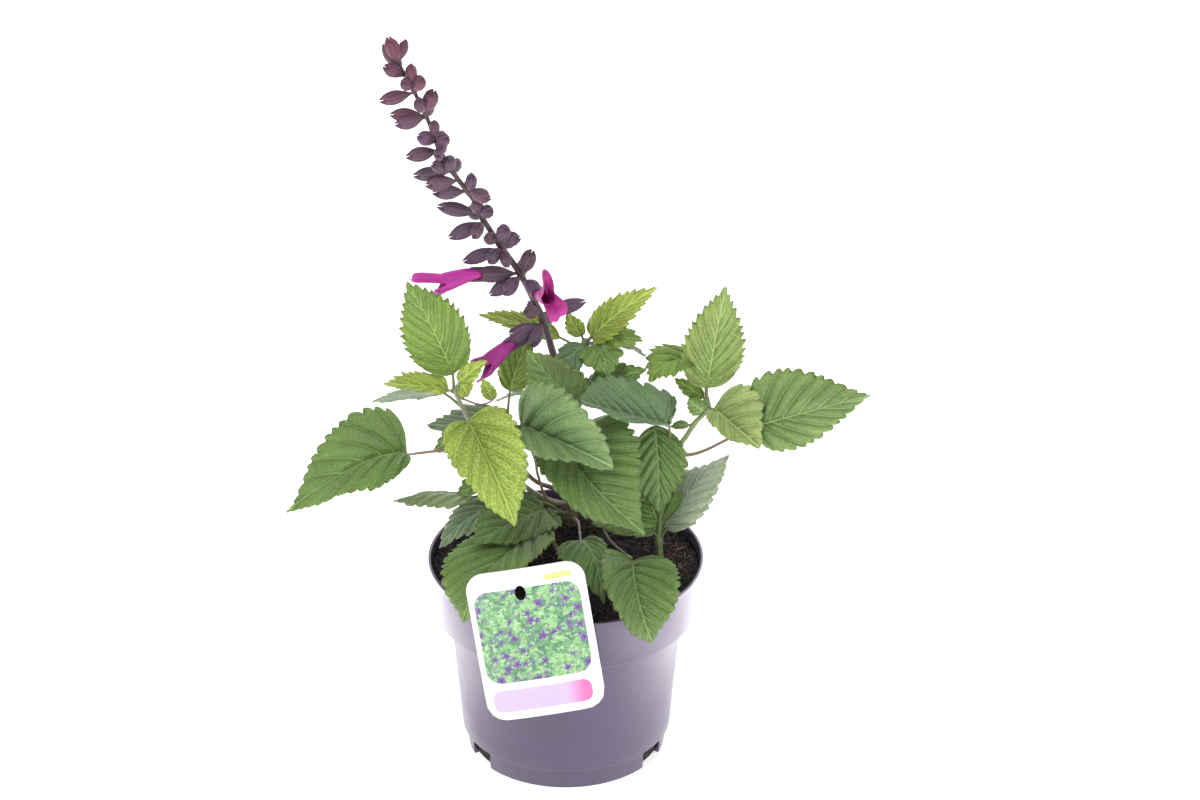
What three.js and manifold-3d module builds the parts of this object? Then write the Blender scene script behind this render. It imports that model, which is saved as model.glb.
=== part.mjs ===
/*
 * Potted sage: a young flowering sage in a thin plastic nursery pot.
 *
 * Units are millimetres, +Z is up. The origin is the centre of the pot's underside, and the pot
 * stands on z = 0. -Y is the front, where the plant label is, and +X is to the right of it.
 *
 * The plant is rooted a little behind the pot's middle. Its main stem carries the low leaves and
 * the flower spike; shoots leave it to the left and right, and behind the spike.
 */
import * as THREE from 'three';
import { mergeVertices } from 'three/addons/utils/BufferGeometryUtils.js';
import Module from 'manifold-3d';

const wasm = await Module();
wasm.setup();

// ---- Driving dimensions -------------------------------------------------------------------

const FIT = 0.3; // gap kept between pieces that touch
const EVENNESS = 0.07; // points nearer than this to a flat face are left out of it

const POT = {
  height: 100,
  rimRadius: 65,
  wall: 1.4,
  collarHeight: 26,
  collarLowRadius: 62.4,
  bodyTopRadius: 55,
  bodyLowRadius: 49.8,
  bandHeight: 10,
  footRadius: 47,
  lipHeight: 1.4,
  segments: 40,
};

const NOTCH = { headings: [90, 210, 330], width: 16, depth: 9, height: 10 };

const SOIL = {
  level: 94.5,
  mound: 2.5,
  bumps: 0.5,
  segments: 40,
  rings: [0.88, 0.66, 0.42, 0.2], // shares of the radius where the top has a ring of points
};

const LABEL = {
  width: 55,
  height: 74,
  thickness: 0.6,
  corner: 9,
  bend: 1.4, // how far the side edges stand behind the middle
  bendSteps: 8,
  tilt: 8, // degrees that the card leans back
  roll: 9, // degrees that the card is turned in its own plane
  centreX: -14,
  belowRim: 7, // from the pot's rim down to the middle of the card
  standOff: 0.95, // from the front of the rim to the card's back
  hole: { x: -3, y: 25, width: 5, height: 7.5 },
  tongue: { x: -4, width: 8, drop: 13 }, // the strip that hooks over the rim
};

const BLADE = {
  thickness: 0.7,
  ribSteps: 6,
  lean: 0.1, // how far the side veins reach forward, as a share of the rib's length
  baseRound: 0.62, // exponents of the outline near the base and near the tip
  tipSharp: 1.45,
  mostTeeth: 8, // on each side
  fewestTeeth: 4,
  toothSpacing: 6,
  toothDepth: 0.09,
  smallWidth: 12, // a leaf no wider than this has flat halves
  smallRibSteps: 4,
};
const PETIOLE = { radius: 0.85, endRadius: 0.5, sides: 4, under: 0.12 };

const CALYX = { girth: 6, sides: 6, stalkRadius: 0.55 };

// ---- Small helpers ------------------------------------------------------------------------

const vec = (p) => new THREE.Vector3(p[0], p[1], p[2]);
const radians = (degrees) => THREE.MathUtils.degToRad(degrees);

/** Turns a three.js geometry into a solid that can be joined and cut. */
function solidOf(geometry) {
  const bare = geometry.clone();
  bare.deleteAttribute('normal');
  bare.deleteAttribute('uv');
  const merged = mergeVertices(bare, 1e-4);
  return solidFromArrays(merged.attributes.position.array, merged.index.array);
}

/** Makes a solid from a list of coordinates and a list of triangles, leaving out empty triangles. */
function solidFromArrays(coordinates, indices) {
  const triangles = [];
  for (let i = 0; i < indices.length; i += 3) {
    const [a, b, c] = [indices[i], indices[i + 1], indices[i + 2]];
    if (a !== b && b !== c && c !== a) triangles.push(a, b, c);
  }
  return new wasm.Manifold(new wasm.Mesh({
    numProp: 3,
    vertProperties: Float32Array.from(coordinates),
    triVerts: Uint32Array.from(triangles),
  }));
}

/** Joins a list of solids into one. */
function fuse(solids) {
  return solids.reduce((whole, piece) => whole.add(piece));
}

/** Gives a finished solid its name, colour and finish, as a mesh without needless triangles. */
function meshOf(solid, name, colour, roughness) {
  const { vertProperties, triVerts } = solid.asOriginal().simplify(EVENNESS).getMesh();
  const geometry = new THREE.BufferGeometry();
  geometry.setAttribute('position', new THREE.BufferAttribute(vertProperties, 3));
  geometry.setIndex(new THREE.BufferAttribute(triVerts, 1));
  geometry.computeVertexNormals();
  const material = new THREE.MeshStandardMaterial({ color: colour, roughness, metalness: 0 });
  const mesh = new THREE.Mesh(geometry, material);
  mesh.name = name;
  return mesh;
}

/**
 * A closed skin round a smooth line through the given places. Each ring has its share of the
 * line's length and its radius; a notch holds every second point of a ring back by that share.
 */
function skin(places, rings, sides) {
  const frameCount = 60;
  const curve = new THREE.CatmullRomCurve3(places, false, 'centripetal');
  const { normals, binormals } = curve.computeFrenetFrames(frameCount, false);
  const coordinates = [];
  const indices = [];
  rings.forEach(({ at, radius, notch = 0 }, r) => {
    for (let k = 0; k < sides; k += 1) {
      const share = at - (k % 2) * notch;
      const frame = Math.round(share * frameCount);
      const angle = (k / sides) * Math.PI * 2;
      const point = curve.getPointAt(share)
        .addScaledVector(normals[frame], Math.cos(angle) * radius)
        .addScaledVector(binormals[frame], Math.sin(angle) * radius);
      coordinates.push(point.x, point.y, point.z);
      if (r === 0) continue;
      const a = (r - 1) * sides + k;
      const b = (r - 1) * sides + ((k + 1) % sides);
      indices.push(a, b, b + sides, a, b + sides, a + sides);
    }
  });
  const last = (rings.length - 1) * sides;
  for (let k = 1; k < sides - 1; k += 1) {
    indices.push(0, k + 1, k, last, last + k, last + k + 1);
  }
  return solidFromArrays(coordinates, indices);
}

/** A rod that tapers evenly along a smooth line through the given places. */
function rod(places, startRadius, endRadius, sides, steps) {
  const rings = Array.from({ length: steps + 1 }, (_, i) => {
    const at = i / steps;
    return { at, radius: THREE.MathUtils.lerp(startRadius, endRadius, at) };
  });
  return skin(places, rings, sides);
}

// ---- Pot, soil and label ------------------------------------------------------------------

/** Radius of the collar's inner wall at a height. */
function collarInside(z) {
  const share = (z - (POT.height - POT.collarHeight)) / POT.collarHeight;
  return THREE.MathUtils.lerp(POT.collarLowRadius, POT.rimRadius, share) - POT.wall;
}

/** A shape turned round the Z axis, from a profile of [radius, height] pairs. */
function turned(profile, segments) {
  const points = profile.map(([radius, z]) => new THREE.Vector2(radius, z));
  const geometry = new THREE.LatheGeometry(points, segments);
  geometry.rotateX(Math.PI / 2);
  return geometry;
}

function potSolid() {
  const shoulder = POT.height - POT.collarHeight;
  const lip = POT.height - POT.lipHeight;
  const step = POT.bandHeight + 0.8;
  const profile = [
    [0, 0],
    [POT.footRadius, 0],
    [POT.footRadius + 0.6, POT.bandHeight],
    [POT.bodyLowRadius, step],
    [POT.bodyTopRadius, shoulder - 1.4],
    [POT.collarLowRadius, shoulder],
    [POT.rimRadius - 0.8, lip],
    [POT.rimRadius, lip + 0.4],
    [POT.rimRadius, POT.height],
    [POT.rimRadius - POT.wall, POT.height],
    [POT.collarLowRadius - POT.wall, shoulder + POT.wall],
    [POT.bodyTopRadius - POT.wall, shoulder],
    [POT.bodyLowRadius - POT.wall, step + POT.wall],
    [POT.footRadius + 0.6 - POT.wall, POT.bandHeight + POT.wall],
    [POT.footRadius - POT.wall, POT.wall],
    [0, POT.wall],
  ];
  let solid = solidOf(turned(profile, POT.segments));
  for (const heading of NOTCH.headings) {
    const reach = NOTCH.depth * 2;
    const cutter = new THREE.BoxGeometry(reach, NOTCH.width, NOTCH.height * 2);
    cutter.translate(POT.footRadius - NOTCH.depth + reach / 2, 0, 0);
    cutter.rotateZ(radians(heading));
    solid = solid.subtract(solidOf(cutter));
  }
  return solid;
}

/** Height of the soil: a low mound with small lumps. */
function soilHeight(x, y) {
  const share = Math.min(1, Math.hypot(x, y) / POT.rimRadius);
  const lumps = Math.sin(x * 0.31 + 1.1) * Math.cos(y * 0.27) + 0.6 * Math.sin((x - y) * 0.53);
  return SOIL.level + SOIL.mound * (1 - share * share) + SOIL.bumps * lumps;
}

/** The soil fills the pot, with a plain hole for each stem and a slot for the label's tongue. */
function soilSolid(cutters) {
  const shoulder = POT.height - POT.collarHeight;
  const inset = POT.wall + FIT;
  const edge = collarInside(SOIL.level) - FIT;
  const profile = [
    [0, inset],
    [POT.footRadius - inset, inset],
    [POT.footRadius + 0.6 - inset, POT.bandHeight + inset],
    [POT.bodyLowRadius - inset, POT.bandHeight + 0.8 + inset],
    [POT.bodyTopRadius - inset, shoulder + FIT],
    [POT.collarLowRadius - inset, shoulder + inset],
    [edge, SOIL.level],
    ...SOIL.rings.map((share) => [edge * share, SOIL.level]),
    [0, SOIL.level],
  ];
  const geometry = turned(profile, SOIL.segments);
  const position = geometry.attributes.position;
  for (let i = 0; i < position.count; i += 1) {
    const x = position.getX(i);
    const y = position.getY(i);
    const isTop = position.getZ(i) > SOIL.level - 0.01;
    if (isTop && Math.hypot(x, y) < edge - 0.01) position.setZ(i, soilHeight(x, y));
  }
  return cutters.reduce((solid, cutter) => solid.subtract(cutter), solidOf(geometry));
}

/** The card's outline: a rectangle with round corners and a punched hole. */
function cardShape() {
  const { width, height, corner, hole } = LABEL;
  const right = width / 2;
  const top = height / 2;
  const shape = new THREE.Shape();
  shape.absarc(right - corner, corner - top, corner, -Math.PI / 2, 0);
  shape.absarc(right - corner, top - corner, corner, 0, Math.PI / 2);
  shape.absarc(corner - right, top - corner, corner, Math.PI / 2, Math.PI);
  shape.absarc(corner - right, corner - top, corner, Math.PI, Math.PI * 1.5);
  const punched = new THREE.Path();
  punched.absellipse(hole.x, hole.y, hole.width / 2, hole.height / 2, 0, Math.PI * 2, true);
  shape.holes.push(punched);
  return shape;
}

/** A sheet as tall as the card, bent a little round the pot. */
function bentSheet() {
  const { width, height, thickness, bend, bendSteps } = LABEL;
  const shape = new THREE.Shape();
  const reach = width / 2 + 1;
  for (let i = 0; i <= bendSteps * 2 + 1; i += 1) {
    const isFront = i > bendSteps;
    const step = isFront ? bendSteps * 2 + 1 - i : i;
    const x = ((step / bendSteps) * 2 - 1) * reach;
    const z = -bend * (x / (width / 2)) ** 2 + (isFront ? thickness : 0);
    if (i === 0) shape.moveTo(x, z);
    else shape.lineTo(x, z);
  }
  shape.closePath();
  const geometry = new THREE.ExtrudeGeometry(shape, { depth: height + 2, bevelEnabled: false });
  geometry.rotateX(Math.PI / 2);
  geometry.translate(0, height / 2 + 1, 0);
  return solidOf(geometry);
}

/** The card leans against the front of the rim. */
function cardSolid() {
  const depth = (LABEL.bend + LABEL.thickness) * 2;
  const outline = new THREE.ExtrudeGeometry(cardShape(), {
    depth,
    bevelEnabled: false,
    curveSegments: 5,
  });
  outline.translate(0, 0, -depth / 2);
  const behindRim = LABEL.belowRim * Math.tan(radians(LABEL.tilt));
  const y = -POT.rimRadius - LABEL.standOff - behindRim;
  return bentSheet()
    .intersect(solidOf(outline))
    .rotate([0, 0, LABEL.roll])
    .rotate([90 - LABEL.tilt, 0, 0])
    .translate([LABEL.centreX, y, POT.height - LABEL.belowRim]);
}

/** The strip behind the card: over the rim, then down between the wall and the soil. */
function tongueSolid(clearance) {
  const { x, width, drop } = LABEL.tongue;
  const t = LABEL.thickness;
  const c = clearance;
  const low = POT.height - drop;
  const over = POT.height + FIT;
  const outer = -POT.rimRadius - LABEL.standOff - 0.05;
  const wallRadius = collarInside(low) * Math.cos(Math.PI / POT.segments);
  const inner = FIT - Math.sqrt(wallRadius ** 2 - (width / 2 + Math.abs(x)) ** 2);
  const shape = new THREE.Shape();
  shape.moveTo(outer, over - c);
  shape.lineTo(inner - c, over - c);
  shape.lineTo(inner - c, low - c);
  shape.lineTo(inner + t + c, low - c);
  shape.lineTo(inner + t + c, over + t + c);
  shape.lineTo(outer, over + t + c);
  shape.closePath();
  const depth = width + 2 * c;
  const geometry = new THREE.ExtrudeGeometry(shape, { depth, bevelEnabled: false });
  geometry.translate(0, 0, x - depth / 2);
  const turn = new THREE.Matrix4().makeBasis(
    new THREE.Vector3(0, 1, 0),
    new THREE.Vector3(0, 0, 1),
    new THREE.Vector3(1, 0, 0),
  );
  geometry.applyMatrix4(turn);
  return solidOf(geometry);
}

// ---- Leaves -------------------------------------------------------------------------------

/** The value for a leaf's half: [right, left], seen from above with the tip ahead, or one for both. */
function ofHalf(values, side) {
  return side > 0 ? values.at(-1) : values[0];
}

/**
 * The curved sheet of a leaf. Its rib runs from base to tip and bows towards the side that the
 * upper face looks at. Each half is folded up from the rib by an angle.
 */
class Sheet {
  constructor({ base, tip, face, bow = 0, bowAt = 0.5, fold = 0 }) {
    const forward = vec(tip).sub(vec(base));
    this.length = forward.length();
    forward.normalize();
    const up = vec(face);
    up.addScaledVector(forward, -up.dot(forward)).normalize();
    this.across = up.clone().cross(forward);
    this.folds = [fold].flat().map(radians);
    const handle = vec(base)
      .addScaledVector(forward, this.length * bowAt)
      .addScaledVector(up, bow * 2);
    this.rib = new THREE.QuadraticBezierCurve3(vec(base), handle, vec(tip));
  }

  /** The direction that the upper face looks in, at a share of the rib's length. */
  normal(share) {
    const tangent = this.rib.getTangent(THREE.MathUtils.clamp(share, 0, 1));
    return tangent.cross(this.across).normalize();
  }

  /** The place at a share of the rib's length, that far to the side of it. */
  place(share, side) {
    const onRib = THREE.MathUtils.clamp(share, 0, 1);
    const fold = ofHalf(this.folds, side);
    return this.rib.getPoint(onRib)
      .addScaledVector(this.rib.getTangent(onRib), (share - onRib) * this.length)
      .addScaledVector(this.across, side * Math.cos(fold))
      .addScaledVector(this.normal(onRib), Math.abs(side) * Math.sin(fold));
  }
}

/** Half the width of an egg-shaped leaf, as a share of the widest place. */
function eggShape(u) {
  const { baseRound, tipSharp } = BLADE;
  const width = (v) => v ** baseRound * (1 - v) ** tipSharp;
  const widest = baseRound / (baseRound + tipSharp);
  return width(u) / width(widest);
}

/** A place on the blade: u runs along the margin from base to tip, s from the rib to the margin. */
function onBlade(sheet, leaf, u, s) {
  const lean = BLADE.lean * Math.sin(Math.PI * u);
  const { width, heart = 0, widths = 1 } = leaf;
  const reach = ofHalf([heart].flat(), s);
  const half = ofHalf([widths].flat(), s) * width * 0.5;
  const lobe = reach * (1 - u) ** 2 * Math.sin(Math.PI * Math.min(1, u / 0.35));
  const foot = u - lean;
  const margin = u + lean - lobe;
  const share = foot + (margin - foot) * Math.abs(s) ** 1.3;
  return sheet.place(share, s * eggShape(u) * half);
}

/** Joins two chains of points that share both ends with triangles. */
function zip(inner, outer, add) {
  let i = 0;
  let j = 0;
  while (i < inner.length - 1 || j < outer.length - 1) {
    const nextInner = i < inner.length - 1 ? inner[i + 1].u : Infinity;
    const nextOuter = j < outer.length - 1 ? outer[j + 1].u : Infinity;
    if (nextInner <= nextOuter) {
      add(inner[i].id, inner[i + 1].id, outer[j].id);
      i += 1;
    } else {
      add(inner[i].id, outer[j + 1].id, outer[j].id);
      j += 1;
    }
  }
}

/** The blade of a leaf, with its toothed margin, as a solid of even thickness. */
function bladeSolid(leaf) {
  const sheet = new Sheet(leaf);
  const { fewestTeeth, mostTeeth, toothSpacing } = BLADE;
  const wanted = Math.round(sheet.length / toothSpacing);
  const teeth = THREE.MathUtils.clamp(wanted, fewestTeeth, mostTeeth);
  const isSmall = leaf.width <= BLADE.smallWidth;
  const ribSteps = isSmall ? BLADE.smallRibSteps : BLADE.ribSteps;
  const places = [];
  const normals = [];
  const addPlace = (u, s, shift = 0) => {
    places.push(onBlade(sheet, leaf, u, s).addScaledVector(sheet.rib.getTangent(u), shift));
    normals.push(sheet.normal(u));
    return { id: places.length - 1, u };
  };
  const base = addPlace(0, 0);
  const tip = addPlace(1, 0);
  const chain = (steps, point) => {
    const inside = Array.from({ length: steps - 1 }, (_, i) => point(i + 1, (i + 1) / steps));
    return [base, ...inside, tip];
  };
  const toothLength = sheet.length / teeth;
  const toothOrGap = (side) => (i, u) => (i % 2 === 1
    ? addPlace(u, side, toothLength * 0.25)
    : addPlace(u, side * (1 - BLADE.toothDepth)));
  const top = [];
  const wall = [];
  const rib = chain(ribSteps, (i, u) => addPlace(u, 0));
  for (const side of [1, -1]) {
    const half = isSmall ? rib : chain(ribSteps, (i, u) => addPlace(u, side * 0.5));
    const margin = chain(teeth * 2, toothOrGap(side));
    const add = (a, b, c) => {
      if (a === b || b === c || c === a) return;
      top.push(side > 0 ? [a, b, c] : [a, c, b]);
    };
    if (!isSmall) zip(rib, half, add);
    zip(half, margin, add);
    for (let i = 0; i < margin.length - 1; i += 1) {
      const ends = [margin[i].id, margin[i + 1].id];
      wall.push(side > 0 ? ends : ends.reverse());
    }
  }
  const under = places.map((p, i) => p.clone().addScaledVector(normals[i], -BLADE.thickness));
  const down = places.length;
  const indices = [
    ...top.flat(),
    ...top.flatMap(([a, b, c]) => [a + down, c + down, b + down]),
    ...wall.flatMap(([a, b]) => [b, b + down, a + down, b, a + down, a]),
  ];
  return solidFromArrays([...places, ...under].flatMap((p) => p.toArray()), indices);
}

/** A leaf: its blade, and its stalk, which runs on under the blade as the thick end of the rib. */
function leafSolid(leaf) {
  const sheet = new Sheet(leaf);
  const below = (share) => sheet.place(share, 0)
    .addScaledVector(sheet.normal(share), -BLADE.thickness / 2);
  const places = [...leaf.stalk.map(vec), below(0.02), below(PETIOLE.under)];
  const radius = leaf.stalkRadius ?? PETIOLE.radius;
  const steps = places.length;
  const stalk = rod(places, radius, PETIOLE.endRadius, PETIOLE.sides, steps);
  return bladeSolid(leaf).add(stalk);
}

/** How many pieces a stem's rod is made of. */
function stemSteps(joints) {
  return Math.round(joints.length * 1.5);
}

/** A leafy stem: a square stem through its joints, with its leaves grown from it. */
function leafyStemSolid({ joints, radius, endRadius, leaves }) {
  const stem = rod(joints.map(vec), radius, endRadius, 4, stemSteps(joints));
  return fuse([stem, ...leaves.map(leafSolid)]);
}

// ---- Where the stems and leaves grow ------------------------------------------------------
//
// joints: the places that a stem runs through, from its root up.
// stalk: where a leaf's stalk leaves the stem, and what it runs through to the leaf's base.
// face: the direction that the upper face looks in. bow: how far the rib arches that way.
// fold: degrees that each half is raised from the rib. heart: how far the lobes reach back.
// widths: how wide each half is, against half of the leaf's width.
// A list for fold, heart or widths holds the right half's value and the left half's.

const MAIN_STEM = {
  joints: [[3, 34, 82], [3, 34, 98], [2, 34, 108], [3, 33, 122], [4, 31, 137], [3, 28, 152], [3, 26, 162]],
  radius: 2.2,
  endRadius: 1.7,
  leaves: [
    { // low left, over the soil
      stalk: [[2, 34, 103]], base: [-9, 18, 115], tip: [-43, -24, 120],
      width: 30, face: [0, -0.55, 0.8], bow: 3, fold: [8, 4], heart: [0.12, 0.3], widths: [1.15, 0.85],
    },
    { // over the rim at the left
      stalk: [[2, 34, 103], [-15, 22, 113]], base: [-29, 14, 120], tip: [-60, 1, 104],
      width: 26, face: [-0.2, -0.1, 1], bow: 5, fold: 8,
    },
    { // far left, seen edge on
      stalk: [[2, 34, 100], [-18, 24, 111], [-35, 14, 126]], base: [-43, 8, 128], tip: [-81, 2, 129],
      width: 22, face: [0, 0.2, 1], bow: 3, bowAt: 0.6, fold: [-18, -20],
    },
    { // small one beside it
      stalk: [[-32, 16, 124]], base: [-36, 11, 133], tip: [-52, 6, 129],
      width: 13, face: [0, -0.2, 1], bow: 2, fold: 10,
    },
    { // small dark one in front, above the label
      stalk: [[3, 34, 101], [6, 12, 111]], base: [7, -6, 112], tip: [18, -44, 99],
      width: 24, face: [0.1, -0.3, 1], bow: 9, bowAt: 0.4, fold: [-8, 8], heart: 0.14, widths: [1.3, 0.7],
    },
    { // hangs over the rim at the front right
      stalk: [[3, 34, 104], [14, 25, 109], [20, 8, 105]], base: [31, -22, 110], tip: [40, -64, 90],
      width: 38, face: [-0.3, -0.3, 0.9], bow: 12, bowAt: 0.8, fold: [50, 6],
      heart: [0.25, 0.08], widths: [0.9, 1.1],
    },
    { // the largest, in the middle
      stalk: [[4, 31, 137], [0, 22, 150]], base: [-1, 10, 157], tip: [37, -38, 133],
      width: 51, face: [-0.45, -0.7, 0.55], bow: 15, fold: [62, -14], heart: [0, 0.2], widths: [0.8, 1.2],
    },
    { // above it, blue-green
      stalk: [[3, 33, 109], [-8, 21, 118], [-13, 12, 137], [-14, 5, 148], [-17, -5, 163]],
      base: [-21, -7, 174], tip: [22, -32, 165],
      width: 47, face: [-0.1, -0.8, 0.6], bow: 7, fold: [62, 48], heart: 0.03, widths: [0.8, 1.2],
    },
    { // upright, in front of the foot of the spike
      stalk: [[3, 28, 155], [5, 22, 163]], base: [6, 19, 172], tip: [-18, 4, 207],
      width: 26, face: [-0.3, -0.8, 0.5], bow: 4, fold: 10,
    },
    { // thin and pale, behind the spike
      stalk: [[3, 27, 157]], base: [-3, 28, 170], tip: [-33, 31, 167],
      width: 14, face: [0, 0.3, 0.95], bow: 3, fold: 8,
    },
    { // back left
      stalk: [[2, 35, 101], [-8, 40, 105]], base: [-22, 44, 108], tip: [-48, 54, 115],
      width: 24, face: [-0.1, 0.1, 1], bow: 5, fold: 10, heart: 0.1,
    },
  ],
};

const FRONT_STEM = {
  joints: [[-2, 3, 82], [-2, 4, 95], [-5, 7, 101], [-8, 10, 106]],
  radius: 1.1,
  endRadius: 0.9,
  leaves: [
    { // hangs over the rim at the front left
      stalk: [[-7, 9, 104]], base: [-12, 12, 108], tip: [-48, -55, 96],
      width: 41, face: [-0.1, -0.35, 0.9], bow: 12, bowAt: 0.9, fold: [4, 22],
      heart: 0.1, widths: [1.1, 0.9],
    },
  ],
};

const LEFT_STEM = {
  joints: [
    [2, 34, 108], [-8, 30, 113], [-20, 20, 127], [-30, 8, 146], [-38, -2, 163],
    [-44, -10, 177], [-48, -13, 188], [-51, -13, 196],
  ],
  radius: 1.4,
  endRadius: 0.9,
  leaves: [
    { // the big yellow-green one that hangs in front
      stalk: [[-42, -8, 174]], base: [-45, -16, 181], tip: [-23, -49, 144],
      width: 40, face: [0.15, -0.75, 0.6], bow: 6, bowAt: 0.4, fold: [33, 35], heart: [0.07, 0.12],
    },
    { // upright at the top
      stalk: [[-51, -13, 195]], base: [-51, -13, 203], tip: [-71, -20, 254],
      width: 31, face: [0.25, -0.85, 0.45], bow: 4, bowAt: 0.6, fold: [6, -11], heart: [0.09, 0],
    },
    { // level, to the left
      stalk: [[-51, -13, 194]], base: [-53, -17, 198], tip: [-82, -30, 208],
      width: 17, face: [0, -0.2, 1], bow: 0.5, fold: [23, 19], heart: [0.14, 0.04],
    },
    { // below it, seen from underneath
      stalk: [[-48, -13, 187]], base: [-56, -8, 192], tip: [-89, -11, 189],
      width: 18, face: [-0.1, 0.75, 0.65], bow: 1.5, fold: 4,
    },
    { // narrow young one to the right
      stalk: [[-51, -13, 195]], base: [-49, -15, 200], tip: [-36, -24, 216],
      width: 9, face: [0.3, -0.6, 0.7], bow: 1, fold: 14,
    },
    { // small one that hangs from the top joint
      stalk: [[-51, -13, 195]], base: [-48, -13, 199], tip: [-44, -10, 190],
      width: 9, face: [0.5, -0.8, 0.1], bow: 1, fold: 8,
    },
    { // small yellow one on a thin stalk
      stalk: [[-50, -13, 192], [-38, -6, 184]], stalkRadius: 0.5,
      base: [-33, -4, 185], tip: [-38, -5, 197],
      width: 7, face: [-0.2, -0.9, 0.3], bow: 1, fold: 8,
    },
    { // the big one at the far left, on a long brown stalk
      stalk: [[-30, 8, 146], [-42, 0, 155], [-53, -4, 159]], base: [-73, -9, 160], tip: [-130, -20, 136],
      width: 48, face: [-0.25, -0.4, 0.85], bow: 8, bowAt: 0.2, fold: [16, 21],
      heart: [0.17, -0.15], widths: [1.1, 0.9],
    },
  ],
};

const INNER_STEM = {
  joints: [[2, 33, 116], [-14, 27, 125], [-23, 18, 144], [-26, 13, 162], [-27, 14, 169]],
  radius: 1.2,
  endRadius: 0.8,
  leaves: [
    { // upright, yellow-green
      stalk: [[-27, 14, 168]], base: [-26, 20, 177], tip: [-17, 22, 205],
      width: 17, face: [-0.2, -0.9, 0.3], bow: 2, fold: 14,
    },
    { // dark, to the left
      stalk: [[-27, 14, 166]], base: [-30, 11, 171], tip: [-64, 3, 169],
      width: 22, face: [0, -0.2, 1], bow: -2.5, fold: [8, -4],
    },
    { // small, below it
      stalk: [[-26, 13, 160]], base: [-42, 8, 163], tip: [-62, 8, 152],
      width: 13, face: [-0.1, -0.6, 0.8], bow: 2, fold: 8,
    },
  ],
};

const RIGHT_STEM = {
  joints: [
    [45, 3, 82], [45, 3, 95], [44, 6, 105], [45, 8, 117], [47, 9, 133], [49, 10, 147],
    [56, 12, 156], [61, 13, 164], [67, 14, 171], [66, 13, 177],
  ],
  radius: 1.6,
  endRadius: 1,
  leaves: [
    { // broad, grey-green, to the right
      stalk: [[44, 6, 104]], base: [47, 5, 111], tip: [77, 24, 141],
      width: 32, face: [-0.55, -0.4, 0.75], bow: 4, fold: [5, -6], heart: [0.06, 0.15],
    },
    { // its pair, to the left, low over the soil
      stalk: [[44, 6, 104]], base: [42, 5, 110], tip: [12, 6, 114],
      width: 19, face: [0, -0.2, 0.95], bow: 3, fold: 6,
    },
    { // upright between them
      stalk: [[44, 6, 104]], base: [45, 7, 110], tip: [30, 17, 146],
      width: 30, face: [0.1, -0.9, 0.4], bow: 3, fold: 6, heart: 0.2,
    },
    { // bright, hanging
      stalk: [[48, 10, 143], [46, 13, 156]], base: [42, 12, 163], tip: [44, 0, 122],
      width: 28, face: [0.2, -0.95, 0.3], bow: 3, fold: 6,
    },
    { // dark, arching to the left
      stalk: [[49, 10, 147], [49, 10, 156]], base: [49, 7, 166], tip: [7, -13, 190],
      width: 31, face: [-0.15, -0.4, 0.9], bow: -0.8, bowAt: 0.8, fold: [26, 35],
      heart: [0.35, -0.1], widths: [1.15, 0.85],
    },
    { // upright at the top
      stalk: [[66, 13, 176]], base: [66, 12, 182], tip: [74, 6, 238],
      width: 30, face: [-0.15, -0.95, 0.3], bow: 3.5, fold: [-9, 16], heart: [0, 0.05],
    },
    { // bent down, behind it to the left
      stalk: [[66, 13, 176], [65, 20, 184]], base: [62, 20, 193], tip: [39, 4, 190],
      width: 24, face: [-0.45, -0.3, 0.85], bow: 6, bowAt: 0.7, fold: [21, 6], heart: [0.12, 0],
    },
    { // narrow, below it
      stalk: [[66, 13, 173]], base: [65, 15, 176], tip: [51, 17, 185],
      width: 8, face: [-0.3, -0.7, 0.6], bow: 1, fold: 6,
    },
    { // small and round
      stalk: [[66, 14, 170]], base: [65, 12, 170], tip: [57, 9, 178],
      width: 9, face: [-0.3, -0.8, 0.5], bow: 1, fold: 6,
    },
    { // folded, yellow-olive
      stalk: [[67, 14, 171]], base: [69, 10, 173], tip: [90, -14, 165],
      width: 32, face: [0.1, -0.5, 0.85], bow: 0.5, fold: [32, 46], heart: [0, 0.09], widths: [0.8, 1.2],
    },
    { // the big one at the far right, on a long brown stalk
      stalk: [[49, 10, 148], [61, 8, 150], [78, 4, 161]], base: [87, -3, 170], tip: [142, 2, 184],
      width: 38, face: [0.15, -0.75, 0.5], bow: 2, bowAt: 0.3, fold: [6, 0],
      heart: [0.08, 0.15], widths: [0.8, 1.2],
    },
    { // small, in the fork
      stalk: [[60, 13, 163]], base: [58, 13, 163], tip: [49, 13, 162],
      width: 5, face: [0, -0.5, 0.8], bow: 0.5, fold: 6,
    },
  ],
};

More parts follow.
